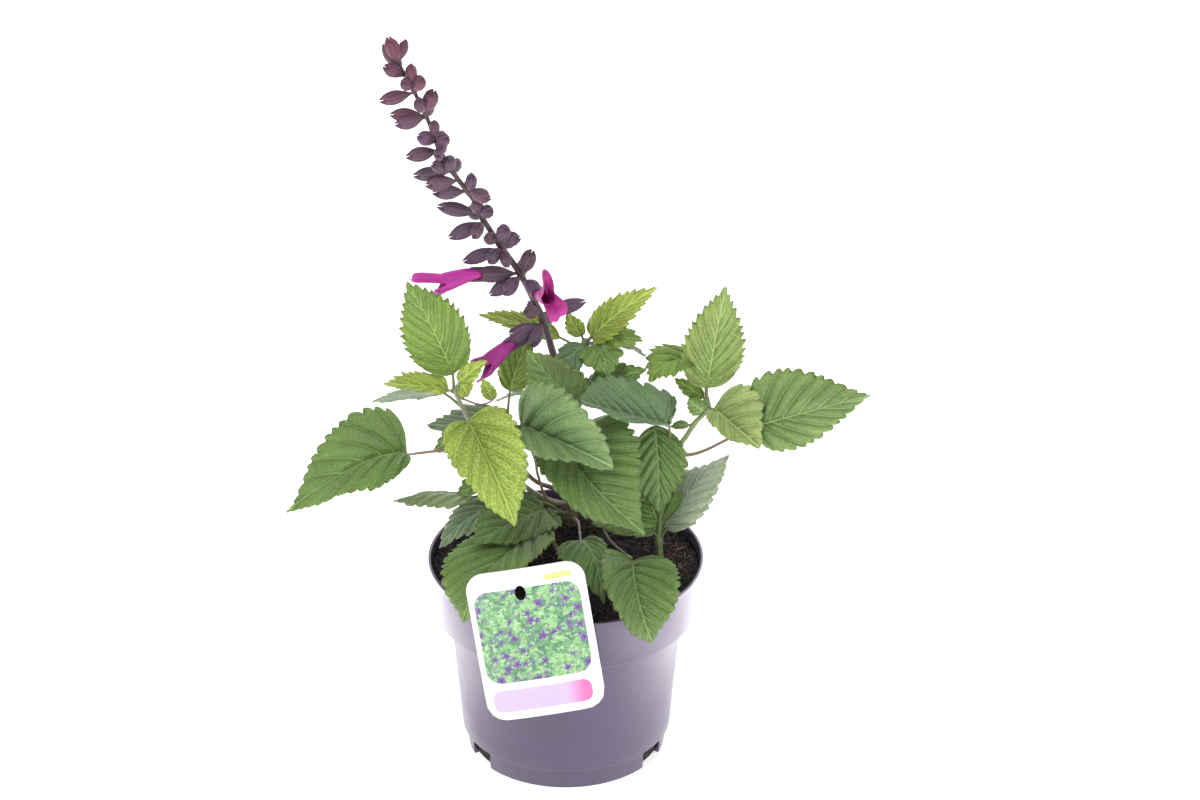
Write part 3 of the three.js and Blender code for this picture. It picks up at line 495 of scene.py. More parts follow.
class Gathered:
    """Points and faces, with vectors kept at each point, gathered for one mesh."""

    def __init__(self, *kept):
        self.points, self.faces, self.finishes, self.edges = [], [], [], []
        self.kept = {name: [] for name in kept}
        self.count = 0

    def add(self, points, faces=(), edges=(), finish=0, **values):
        start = self.count
        self.points.append(np.asarray(points, float))
        self.faces += [tuple(int(i) + start for i in face) for face in faces]
        self.edges += [(a + start, b + start) for a, b in edges]
        self.finishes += [finish] * len(faces)
        for name, parts in self.kept.items():
            parts.append(np.broadcast_to(np.asarray(values[name], float), (len(points), 3)))
        self.count += len(points)

    def make(self, name, *materials):
        mesh = bpy.data.meshes.new(name)
        mesh.from_pydata((np.concatenate(self.points) * MM).tolist(), self.edges, self.faces)
        for label, parts in self.kept.items():
            values = np.concatenate(parts).astype(np.float32).ravel()
            mesh.attributes.new(label, "FLOAT_VECTOR", "POINT").data.foreach_set("vector", values)
        for material in materials:
            mesh.materials.append(material)
        if self.faces:
            mesh.polygons.foreach_set("material_index", self.finishes)
            mesh.shade_smooth()
        mesh.update()
        return new_object(name, mesh)


def unit(v):
    v = np.asarray(v, float)
    return v / np.maximum(np.linalg.norm(v, axis=-1, keepdims=True), 1e-9)


LINE_STEPS = 24  # steps between two places of a line, before its points are made even


def smooth_line(places, count):
    """Points at even steps along a smooth line through the places."""
    p = np.asarray(places, float)
    p = np.vstack([2 * p[0] - p[1], p, 2 * p[-1] - p[-2]])
    fine = []
    for i in range(1, len(p) - 2):
        a, b, c, d = p[i - 1:i + 3]
        gaps = [max(math.sqrt(np.linalg.norm(y - x)), 1e-4) for x, y in ((a, b), (b, c), (c, d))]
        m1 = ((b - a) / gaps[0] - (c - a) / (gaps[0] + gaps[1]) + (c - b) / gaps[1]) * gaps[1]
        m2 = ((c - b) / gaps[1] - (d - b) / (gaps[1] + gaps[2]) + (d - c) / gaps[2]) * gaps[1]
        t = np.linspace(0, 1, LINE_STEPS, endpoint=False)[:, None]
        fine.append((2 * t**3 - 3 * t**2 + 1) * b + (t**3 - 2 * t**2 + t) * m1
                    + (-2 * t**3 + 3 * t**2) * c + (t**3 - t**2) * m2)
    fine = np.vstack([*fine, p[-2][None]])
    way = np.concatenate([[0], np.cumsum(np.linalg.norm(np.diff(fine, axis=0), axis=1))])
    even = np.linspace(0, way[-1], count)
    return np.stack([np.interp(even, way, fine[:, k]) for k in range(3)], axis=1)


def full_turn(count):
    """Angles at even steps round a circle."""
    return np.arange(count) / count * 2 * np.pi


def rings_of(count, around, close=True):
    """Faces that join rings of points, each with the same number round it."""
    last = around if close else around - 1
    return [(r * around + k, r * around + (k + 1) % around,
             (r + 1) * around + (k + 1) % around, (r + 1) * around + k)
            for r in range(count - 1) for k in range(last)]


def closed_rings(count, around):
    """Faces that join rings of points, closed by a foot and a top point that follow the rings."""
    foot, top, start = count * around, count * around + 1, (count - 1) * around
    faces = rings_of(count, around)
    faces += [(foot, (k + 1) % around, k) for k in range(around)]
    faces += [(start + k, start + (k + 1) % around, top) for k in range(around)]
    return faces


# ---- Geometry node trees ----------------------------------------------------------------------


def named(tree, name, kind="FLOAT"):
    return add(tree, "GeometryNodeInputNamedAttribute", {"Name": name}, data_type=kind)[0]


def random_value(tree, low, high, seed):
    return add(tree, "FunctionNodeRandomValue", {2: low, 3: high, "Seed": seed})[1]


def strew(tree, given):
    """Points spread over the faces of the tree's own geometry."""
    return add(tree, "GeometryNodeDistributePointsOnFaces", {
        "Mesh": given["Geometry"], "Density": given["Density"], "Seed": given["Seed"]})


def copy_to(tree, points, shape, rotation, scale):
    return add(tree, "GeometryNodeInstanceOnPoints", {
        "Points": points, "Instance": shape, "Rotation": rotation, "Scale": scale})[0]


def end_tree(tree, geometry, given):
    """Ends a tree: real meshes, smooth, with the material on them."""
    real = add(tree, "GeometryNodeRealizeInstances", {0: geometry})[0]
    smooth = add(tree, "GeometryNodeSetShadeSmooth", {0: real})[0]
    done = add(tree, "GeometryNodeSetMaterial", {0: smooth, "Material": given["Material"]})[0]
    return close_group(tree, GEOMETRY, Geometry=done)


def make_stem_tree():
    """Sweeps a square with round corners along each path; 'thick' is the stem's radius there."""
    tree, given = new_group("stem_along_path", "GeometryNodeTree", {
        "Geometry": GEOMETRY, "Side": 1.75, "Corner": 0.42, "Material": MATERIAL})
    path = add(tree, "GeometryNodeMeshToCurve", {0: given["Geometry"]})[0]
    square = add(tree, "GeometryNodeCurvePrimitiveQuadrilateral", {
        0: given["Side"], 1: given["Side"]})[0]
    section = add(tree, "GeometryNodeFilletCurve", {
        "Curve": square, "Radius": given["Corner"], "Count": 3}, mode="POLY")[0]
    swept = add(tree, "GeometryNodeCurveToMesh", {
        "Curve": path, "Profile Curve": section, "Scale": named(tree, "thick"), "Fill Caps": True})
    return end_tree(tree, swept[0], given)


def make_hair_tree():
    """Fine tapered hairs that stand on a surface, leaning at random."""
    tree, given = new_group("fine_hairs", "GeometryNodeTree", {
        "Geometry": GEOMETRY, "Density": 1e6, "Length": 0.0008, "Radius": 0.00004, "Lean": 0.6,
        "Seed": 1, "Material": MATERIAL})
    roots = strew(tree, given)
    hair = add(tree, "GeometryNodeMeshCone", {
        "Vertices": 3, "Radius Bottom": given["Radius"], "Depth": given["Length"]},
        fill_type="NONE")[0]
    lean = [random_value(tree, given["Lean"] * -1, given["Lean"], seed) for seed in (3, 4)]
    tilt = add(tree, "FunctionNodeEulerToRotation", {0: joined(*lean)})[0]
    turned = add(tree, "FunctionNodeRotateRotation", {
        0: roots[2], 1: tilt}, rotation_space="LOCAL")[0]
    size = joined(1.0, 1.0, random_value(tree, 0.5, 1.0, 5))
    return end_tree(tree, copy_to(tree, roots[0], hair, turned, size), given)


def make_crumb_tree():
    """Lumps of soil strewn on a surface, each bent out of shape by noise."""
    tree, given = new_group("soil_crumbs", "GeometryNodeTree", {
        "Geometry": GEOMETRY, "Density": 1e5, "Radius": 0.001, "Roughness": 0.5,
        "Subdivisions": 1, "Seed": 1, "Material": MATERIAL})
    lump = add(tree, "GeometryNodeMeshIcoSphere", {
        "Radius": given["Radius"], "Subdivisions": given["Subdivisions"]})[0]
    turn = joined(random_value(tree, 0, 6.2, 6), random_value(tree, 0, 6.2, 7))
    spin = add(tree, "FunctionNodeEulerToRotation", {0: turn})[0]
    big = random_value(tree, 0.35, 1.25, 8)
    size = joined(big, big * 0.75, big * 0.6)
    strewn = copy_to(tree, strew(tree, given)[0], lump, spin, size)
    real = add(tree, "GeometryNodeRealizeInstances", {0: strewn})[0]
    wobble = add(tree, "ShaderNodeTexNoise", {"Scale": 900.0, "Detail": 2.0})["Color"]
    centred = vectors("SUBTRACT", wobble, (0.5, 0.5, 0.5))
    shift = scaled(centred, given["Radius"] * given["Roughness"] * 4)
    moved = add(tree, "GeometryNodeSetPosition", {"Geometry": real, "Offset": shift})[0]
    return end_tree(tree, moved, given)


def make_whorl_tree():
    """Sets one calyx at each point: 'aim' is its direction, 'reach' its length, 'girth' its radius."""
    tree, given = new_group("calyx_whorls", "GeometryNodeTree", {
        "Geometry": GEOMETRY, "Calyx": OBJECT, "Material": MATERIAL})
    shape = add(tree, "GeometryNodeObjectInfo", {"Object": given["Calyx"]})["Geometry"]
    facing = add(tree, "FunctionNodeAlignRotationToVector", {
        "Vector": named(tree, "aim", "FLOAT_VECTOR")}, axis="Z")[0]
    upright = add(tree, "FunctionNodeAlignRotationToVector", {
        "Rotation": facing, "Vector": (0, 0, 1)}, axis="X", pivot_axis="Z")[0]
    girth = named(tree, "girth")
    size = joined(girth, girth, named(tree, "reach"))
    return end_tree(tree, copy_to(tree, given["Geometry"], shape, upright, size), given)


def plain_mesh(source, name):
    """The object's mesh as its modifiers leave it."""
    depsgraph = bpy.context.evaluated_depsgraph_get()
    mesh = bpy.data.meshes.new_from_object(
        source.evaluated_get(depsgraph), preserve_all_data_layers=True, depsgraph=depsgraph)
    mesh.name = name
    return mesh


def grow(tree, source, name, **inputs):
    """Runs a tree on a source object and returns its result as a plain mesh."""
    modifier = source.modifiers.new("grow", "NODES")
    modifier.node_group = tree
    for item in tree.interface.items_tree:
        if item.in_out == "INPUT" and item.name in inputs:
            modifier[item.identifier] = inputs[item.name]
    mesh = plain_mesh(source, name)
    source.modifiers.remove(modifier)
    return new_object(name, mesh)


def drop(*objects):
    for o in objects:
        bpy.data.objects.remove(o)


STEM_TREE, HAIR_TREE = make_stem_tree(), make_hair_tree()
CRUMB_TREE, WHORL_TREE = make_crumb_tree(), make_whorl_tree()

# Fine hairs: how many on a square metre, their length and radius in metres, and their lean.
HAIRS = {
    "stalk": (1.6e6, 0.0009, 0.00003, 0.6),
    "calyx": (9e5, 0.0008, 0.00003, 0.9),
    "spike": (2e6, 0.0008, 0.00003, 0.9),
    "petal": (6e5, 0.0005, 0.00002, 0.8),
}


def add_hairs(kind, piece, name, seed, material):
    density, length, radius, lean = HAIRS[kind]
    return grow(HAIR_TREE, piece, name + "_hairs", Density=density, Length=length, Radius=radius,
                Lean=lean, Seed=seed, Material=material)


# ---- Leaves -----------------------------------------------------------------------------------

# A leaf blade. Sizes are in mm; pairs are for round and for sharp teeth.
BLADE = {
    "lean": 0.1,  # how far the margin's widest places lie forward, as a share of the rib
    "vein_lean": 0.27,  # how far behind them, on the rib, the side vein starts that ends there
    "vein_curve": 1.15,  # how the side veins bend forward on their way out
    "base_round": 0.62,
    "tip_sharp": 1.45,
    "tooth": (5.2, 4.2),  # length of margin for one tooth
    "peak": (0.62, 0.74),  # where a tooth's point is between two notches
    "tooth_curve": (0.6, 0.9),
    "fewest_teeth": 6,
    "most_teeth": 21,
    "half_shift": 0.35,  # how far the teeth of the right half are out of step, in teeth
    "uneven": 0.14,  # how far teeth stray from even steps, in teeth
    "tooth_depth": 2.5,
    "forward": (0.3, 0.6),  # how far a tooth points forward, in teeth
    "teeth_from": 0.8,  # the share of the way out where the teeth begin
    "rows": 7,  # rows of points for one tooth
    "side_veins": (4, 11),  # the fewest and the most on each side
    "thick": 0.42,
    "quilt": 0.36,  # how high the leaf stands between two side veins, against their gap
    "wave": 0.03,  # how far the margin swings up and down, against the width
    "curl": 0.05,  # how far the margin hangs, against the width
    "sunk": 0.5,  # how far the upper face lies under its sheet before it bulges
    "ripple": (0.5, 0.16),  # height, and how many in a mm
    "rib": (0.6, 0.7),  # height and half width of the rib under the blade
    "side_rib": (0.16, 0.4),
}
WIDE_COLUMNS = np.array([0, .03, .08, .15, .25, .37, .5, .62, .74, .84, .92, 1])
NARROW_COLUMNS = np.array([0, .06, .2, .4, .6, .8, .92, 1])

# Colours of the leaves' upper faces, as seen in daylight.
TONES = {
    "gold": paint(128, 149, 60), "lime": paint(141, 161, 65), "young": paint(104, 132, 52),
    "fresh": paint(94, 124, 58), "bright": paint(104, 130, 72), "green": paint(86, 114, 56),
    "deep": paint(78, 106, 54), "blue": paint(106, 134, 84), "slate": paint(104, 126, 94),
    "grey": paint(150, 164, 142), "olive": paint(138, 160, 96), "dusty": paint(134, 155, 114),
    "shade": paint(90, 118, 80), "pale": paint(120, 144, 74),
}
STALKS = {
    "olive": paint(116, 120, 74), "brown": paint(124, 102, 80), "pale": paint(138, 140, 112),
    "red": paint(122, 98, 78), "rose": paint(138, 124, 122), "main": paint(130, 124, 92),
    "green": paint(112, 132, 76), "plum": paint(72, 50, 58),
}


def leaf(tone, width, base, tip, face, stalk, bow=0, fold=0, heart=0, bow_at=0.5,
         radius=0.65, stem="olive", wave=1.0, widths=(1, 1), sharp=False, net=0.2, gap=5.2):
    """A leaf. A pair is for its right and left half, seen from above with the tip ahead."""
    folds = fold if isinstance(fold, tuple) else (fold, fold)
    hearts = heart if isinstance(heart, tuple) else (heart, heart)
    return SimpleNamespace(
        tone=tone, width=width, base=base, tip=tip, face=face, stalk=stalk, bow=bow,
        folds=folds, hearts=hearts, bow_at=bow_at, radius=radius, stem=stem, wave=wave,
        widths=widths, sharp=sharp, net=net, gap=gap)


class Sheet:
    """The curved sheet of a leaf, round a rib that bows towards its upper face."""

    def __init__(self, grown):
        base, tip = np.array(grown.base, float), np.array(grown.tip, float)
        self.length = np.linalg.norm(tip - base)
        forward = (tip - base) / self.length
        up = np.array(grown.face, float)
        up = unit(up - forward * (up @ forward))
        self.across = np.cross(up, forward)
        self.folds = [math.radians(angle) for angle in grown.folds]
        handle = base + forward * self.length * grown.bow_at + up * grown.bow * 2
        self.handles = base, handle, tip

    def rib(self, share):
        a = np.asarray(share, float)[..., None]
        base, handle, tip = self.handles
        return (1 - a) ** 2 * base + 2 * a * (1 - a) * handle + a * a * tip

    def tangent(self, share):
        a = np.asarray(share, float)[..., None]
        base, handle, tip = self.handles
        return unit((1 - a) * (handle - base) + a * (tip - handle))

    def normal(self, share):
        return unit(np.cross(self.tangent(share), self.across))

    def place(self, share, side):
        share, side = np.asarray(share, float), np.asarray(side, float)
        on_rib = np.clip(share, 0, 1)
        fold = np.where(side > 0, self.folds[1], self.folds[0])
        return (self.rib(on_rib) + self.tangent(on_rib) * ((share - on_rib) * self.length)[..., None]
                + self.across * (side * np.cos(fold))[..., None]
                + self.normal(on_rib) * (abs(side) * np.sin(fold))[..., None])


def egg_shape(u):
    a, b = BLADE["base_round"], BLADE["tip_sharp"]
    widest = a / (a + b)
    return u**a * (1 - u)**b / (widest**a * (1 - widest)**b)


def outline_shares(grown, u, s):
    """Where the side vein to the margin's point u leaves the rib and ends, and its way outward."""
    half = grown.width / 2 * np.where(s > 0, grown.widths[1], grown.widths[0])
    arch = np.sin(np.pi * u)
    heart = np.where(s > 0, grown.hearts[1], grown.hearts[0])
    lobe = heart * (1 - u)**2 * np.sin(np.pi * np.minimum(1, u / 0.35))
    foot, margin = u - BLADE["vein_lean"] * arch, u + BLADE["lean"] * arch - lobe
    return foot, margin, s * egg_shape(u) * half


def margin_steps(sheet, grown):
    """Points u along the rib whose margins are evenly spaced, and the margin's mean length in mm."""
    u = np.linspace(0, 1, 241)
    ways = []
    for way in (-1.0, 1.0):
        _, margin, reach = outline_shares(grown, u, np.full(len(u), way))
        steps = np.linalg.norm(np.diff(sheet.place(margin, reach), axis=0), axis=1)
        ways.append(np.concatenate([[0], np.cumsum(steps)]))
    way = (ways[0] + ways[1]) / 2
    return u, way / way[-1], way[-1]


def vein_gaps(u, s, share, side, line, length):
    """How far apart the side veins run at each point, in mm."""
    along, across = share * length, side
    along_u, across_u = (np.gradient(v, u[:, 0], axis=0) for v in (along, across))
    along_s, across_s = (np.gradient(v, s[0], axis=1) for v in (along, across))
    area = abs(along_u * across_s - along_s * across_u)
    rate = np.gradient(line, u[:, 0], axis=0)
    return np.clip(area / np.maximum(np.hypot(along_s, across_s) * rate, 1e-6), 0.4, 12)


def tooth_heights(turn, sharp):
    """How high a tooth stands at each part of its turn, from one notch to the next."""
    peak, curve = BLADE["peak"][sharp], BLADE["tooth_curve"][sharp]
    up, down = turn / peak, (1 - turn) / (1 - peak)
    if not sharp:
        up, down = np.sin(up * np.pi / 2), np.cos((turn - peak) / (1 - peak) * np.pi / 2)
    return np.where(turn < peak, up, down)**curve


def two_faces(top, below, base, tip):
    """Points and faces of a thin sheet whose upper and lower face share the margin and ends."""
    n, m = top.shape[:2]
    points = np.vstack([top.reshape(-1, 3), below[:, 1:-1].reshape(-1, 3), base[None], tip[None]])
    upper = np.arange(n * m).reshape(n, m)
    lower = upper.copy()
    lower[:, 1:-1] = n * m + np.arange(n * (m - 2)).reshape(n, m - 2)
    first, last = len(points) - 2, len(points) - 1
    faces = []
    for ids, step in ((upper, 1), (lower, -1)):
        quads = np.stack([ids[:-1, :-1], ids[1:, :-1], ids[1:, 1:], ids[:-1, 1:]], -1)
        faces += quads.reshape(-1, 4)[:, ::step].tolist()
        faces += [(first, a, b)[::step] for a, b in zip(ids[0], ids[0][1:])]
        faces += [(a, last, b)[::step] for a, b in zip(ids[-1], ids[-1][1:])]
    return points, faces


def on_two_faces(a, b, c, ends):
    """Three values at each point of such a sheet, with those at its base and tip."""
    whole = np.stack(np.broadcast_arrays(a, b, c), -1).astype(float)
    return np.vstack([whole.reshape(-1, 3), whole[:, 1:-1].reshape(-1, 3), ends])


def add_blade(mesh, grown, number):
    """A leaf blade: toothed, waved, and quilted between its side veins."""
    sheet = Sheet(grown)
    length, half = sheet.length, grown.width / 2
    rib_steps, margin_shares, margin_length = margin_steps(sheet, grown)
    teeth = int(np.clip(round(margin_length / BLADE["tooth"][grown.sharp]),
                        BLADE["fewest_teeth"], BLADE["most_teeth"]))
    rows = teeth * BLADE["rows"]
    columns = WIDE_COLUMNS if grown.width > 12 else NARROW_COLUMNS
    s_line = np.concatenate([-columns[:0:-1], columns])
    way = np.arange(1, rows) / rows
    u, s = np.meshgrid(np.interp(way, margin_shares, rib_steps), s_line, indexing="ij")
    way = way[:, None]
    out = abs(s)
    foot, margin, reach = outline_shares(grown, u, s)
    outward = out**BLADE["vein_curve"]
    plain_share = foot + (margin - foot) * outward
    plain = sheet.place(plain_share, reach)

    stray = BLADE["uneven"] * np.sin(way * teeth * 1.7 + number + (s > 0))
    turn = (way * teeth + (s > 0) * BLADE["half_shift"] + stray) % 1
    saw = tooth_heights(turn, grown.sharp)
    start = BLADE["teeth_from"]
    edge = np.clip((out - start) / (1 - start), 0, 1)**1.3
    depth = float(np.clip(BLADE["tooth_depth"] / half, 0.07, 0.24))
    forward = BLADE["forward"][grown.sharp] / teeth
    share = foot + (margin + forward * saw * edge - foot) * outward
    side = reach * (1 - depth * (0.8 - saw) * edge)
    places = sheet.place(share, side)

    # Height above the plain sheet: the quilting, the margin's waves and droop, and a ripple.
    normals = unit(np.cross(np.gradient(plain, axis=0), np.gradient(plain, axis=1)))
    veins = int(np.clip(round(length / grown.gap), *BLADE["side_veins"]))
    line = veins * (u + foot) / 2
    gap = vein_gaps(u, s, plain_share, reach, line, length)
    line = line + (s > 0) * 0.25
    to_line = abs(line - np.round(line)) * gap
    to_rib = abs(side)
    # Between two side veins the blade bulges, less so by the rib and out at the margin.
    rise = BLADE["quilt"] * np.minimum(gap, 6)
    quilt = rise * abs(np.sin(np.pi * line))**0.85 * (1 - np.exp(-(to_rib / 1.6)**2))
    quilt *= (1 - 0.7 * out**3) * np.minimum(1, egg_shape(u) * 1.6)
    swing = grown.wave * BLADE["wave"] * grown.width
    phase = number * 2.4 + np.where(s > 0, 1.3, 0)
    wave = swing * out**2.2 * np.sin(2 * np.pi * 1.9 * u + phase) * np.sin(np.pi * u)**0.6
    curl = -BLADE["curl"] * grown.width * out**2.4 * (0.35 + 0.65 * np.sin(np.pi * u))
    high, often = BLADE["ripple"]
    ripple = np.array([[noise.noise((*(p[:2] * often), p[2] * often + number)) for p in row]
                       for row in plain]) * high * out
    lift = quilt + wave + curl + ripple - BLADE["sunk"]
    top = places + normals * lift[..., None]

    # The underside, with a ridge under the rib and under each side vein.
    (rib, rib_width), (side_rib, side_width) = BLADE["rib"], BLADE["side_rib"]
    ridge = rib * np.exp(-(to_rib / rib_width)**2) * (1 - u)**0.6
    ridge += side_rib * np.exp(-(to_line / side_width)**2) * (1 - out)
    thick = BLADE["thick"] * np.sqrt(np.maximum(0, 1 - out**6)) + ridge * (out < 0.999)
    below = top - normals * thick[..., None]

    points, faces = two_faces(top, below, sheet.place(0, 0), sheet.place(1, 0))
    blade = on_two_faces(u, s, 0.0, [[0, 0, 0], [1, 0, 0]])
    blade[u.size:-2, 2] = 1
    mesh.add(
        points, faces, blade=blade, tone=TONES[grown.tone][:3], look=(grown.net, 0, 0),
        vein_line=on_two_faces(line, gap, 0.0, [[.5, 1, 0], [veins, 1, 0]]),
        flat=on_two_faces(share * length, side, number * 41.0, [[0, 0, 0], [length, 0, 0]]))


def add_path(mesh, places, thick, tone, count):
    """One smooth path for a stem; thick holds its radius from start to end."""
    points = smooth_line(places, count)
    share = np.linspace(0, 1, count)
    radius = np.interp(share, np.linspace(0, 1, len(thick)), thick)
    values = np.zeros((count, 3))
    values[:, 0] = radius * MM
    edges = [(i, i + 1) for i in range(count - 1)]
    mesh.add(points, edges=edges, thick_line=values, tone=tone[:3])


def add_petiole(mesh, grown):
    """A leaf's stalk, which runs on under the blade."""
    sheet = Sheet(grown)
    under = [sheet.place(a, 0) - sheet.normal(a) * (0.5 + grown.radius * d)
             for a, d in ((0.01, 0.3), (0.08, 0.6), (0.16, 0.5))]
    places = [*grown.stalk, *under]
    length = sum(np.linalg.norm(np.subtract(a, b)) for a, b in zip(places, places[1:]))
    r = grown.radius
    thick = [r * 1.25, r, r * 0.9, r * 0.85, r * 0.75, 0.3]
    add_path(mesh, places, thick, STALKS[grown.stem], max(8, round(length / 1.6)))


def sweep(paths, name, material):
    """Turns a mesh of paths into stems."""
    source = paths.make(name + "_paths")
    data = source.data
    values = np.zeros(len(data.vertices) * 3, np.float32)
    data.attributes["thick_line"].data.foreach_get("vector", values)
    data.attributes.new("thick", "FLOAT", "POINT").data.foreach_set("value", values[::3])
    data.attributes.remove(data.attributes["thick_line"])
    piece = grow(STEM_TREE, source, name, Material=material)
    drop(source)
    return piece


MAIN_STEM = {
    "node": "main_leafy_stem", "tone": "main", "radius": (2.2, 1.7),
    "joints": [[3, 34, 82], [3, 34, 98], [2, 34, 108], [3, 33, 122], [4, 31, 137], [3, 28, 152],
               [3, 26, 162]],
    "leaves": [
        leaf("green", 30, [-9, 18, 115], [-43, -24, 120], [0, -.55, .8], [[2, 34, 103]],
             3, (8, 4), (.12, .3), widths=(1.15, .85), gap=7.5),
        leaf("slate", 26, [-29, 14, 120], [-60, 1, 104], [-.2, -.1, 1],
             [[2, 34, 103], [-15, 22, 113]], 5, 8),
        leaf("dusty", 22, [-43, 8, 128], [-81, 2, 129], [0, .2, 1],
             [[2, 34, 100], [-18, 24, 111], [-35, 14, 126]], 3, (-18, -20), bow_at=.6),
        leaf("fresh", 13, [-36, 11, 133], [-52, 6, 129], [0, -.2, 1], [[-32, 16, 124]], 2, 10),
        leaf("deep", 24, [7, -6, 112], [18, -44, 99], [.1, -.3, 1],
             [[3, 34, 101], [6, 12, 111]], 9, (-8, 8), .14, .4, stem="rose", widths=(1.3, .7)),
        leaf("green", 38, [31, -22, 110], [40, -64, 90], [-.3, -.3, .9],
             [[3, 34, 104], [14, 25, 109], [20, 8, 105]], 12, (50, 6), (.25, .08), .8,
             stem="rose", widths=(.9, 1.1)),
        leaf("green", 51, [-1, 10, 157], [37, -38, 133], [-.45, -.7, .55],
             [[4, 31, 137], [0, 22, 150]], 15, (62, -14), (0, .2), widths=(.8, 1.2)),
        leaf("blue", 47, [-21, -7, 174], [22, -32, 165], [-.1, -.8, .6],
             [[3, 33, 109], [-8, 21, 118], [-13, 12, 137], [-14, 5, 148], [-17, -5, 163]],
             7, (62, 48), .03, stem="red", widths=(.8, 1.2), gap=7),
        leaf("bright", 26, [6, 19, 172], [-18, 4, 207], [-.3, -.8, .5],
             [[3, 28, 155], [5, 22, 163]], 4, 10),
        leaf("grey", 14, [-3, 28, 170], [-33, 31, 167], [0, .3, .95], [[3, 27, 157]], 3, 8),
        leaf("green", 24, [-22, 44, 108], [-48, 54, 115], [-.1, .1, 1],
             [[2, 35, 101], [-8, 40, 105]], 5, 10, .1),
    ],
}

FRONT_STEM = {
    "node": "front_leafy_stem", "tone": "olive", "radius": (1.1, .9),
    "joints": [[-2, 3, 82], [-2, 4, 95], [-5, 7, 101], [-8, 10, 106]],
    "leaves": [
        leaf("fresh", 41, [-12, 12, 108], [-48, -55, 96], [-.1, -.35, .9], [[-7, 9, 104]],
             12, (4, 22), .1, .9, widths=(1.1, .9), gap=7.5),
    ],
}

LEFT_STEM = {
    "node": "left_leafy_stem", "tone": "pale", "radius": (1.4, .9),
    "joints": [[2, 34, 108], [-8, 30, 113], [-20, 20, 127], [-30, 8, 146], [-38, -2, 163],
               [-44, -10, 177], [-48, -13, 188], [-51, -13, 196]],
    "leaves": [
        leaf("gold", 40, [-45, -16, 181], [-23, -49, 144], [.15, -.75, .6], [[-42, -8, 174]],
             6, (33, 35), (.07, .12), .4, stem="pale", net=.8, gap=6.6),
        leaf("young", 31, [-51, -13, 203], [-71, -20, 254], [.25, -.85, .45], [[-51, -13, 195]],
             4, (6, -11), (.09, 0), .6, wave=.5, sharp=True, gap=6.4),
        leaf("lime", 17, [-53, -17, 198], [-82, -30, 208], [0, -.2, 1], [[-51, -13, 194]],
             .5, (23, 19), (.14, .04), sharp=True),
        leaf("grey", 18, [-56, -8, 192], [-89, -11, 189], [-.1, .75, .65], [[-48, -13, 187]],
             1.5, 4, sharp=True),
        leaf("lime", 9, [-49, -15, 200], [-36, -24, 216], [.3, -.6, .7], [[-51, -13, 195]], 1, 14),
        leaf("lime", 9, [-48, -13, 199], [-44, -10, 190], [.5, -.8, .1], [[-51, -13, 195]], 1, 8),
        leaf("lime", 7, [-33, -4, 185], [-38, -5, 197], [-.2, -.9, .3],
             [[-50, -13, 192], [-38, -6, 184]], 1, 8, radius=.5, stem="brown"),
        leaf("fresh", 48, [-73, -9, 160], [-130, -20, 136], [-.25, -.4, .85],
             [[-30, 8, 146], [-42, 0, 155], [-53, -4, 159]], 8, (16, 21), (.17, -.05), .2,
             radius=.8, stem="brown", widths=(1.1, .9), gap=9),
    ],
}

INNER_STEM = {
    "node": "inner_leafy_stem", "tone": "red", "radius": (1.2, .8),
    "joints": [[2, 33, 116], [-14, 27, 125], [-23, 18, 144], [-26, 13, 162], [-27, 14, 169]],
    "leaves": [
        leaf("young", 17, [-26, 20, 177], [-17, 22, 205], [-.2, -.9, .3], [[-27, 14, 168]], 2, 14),
        leaf("slate", 22, [-30, 11, 171], [-64, 3, 169], [0, -.2, 1], [[-27, 14, 166]],
             -2.5, (8, -4)),
        leaf("green", 13, [-42, 8, 163], [-62, 8, 152], [-.1, -.6, .8], [[-26, 13, 160]], 2, 8),
    ],
}

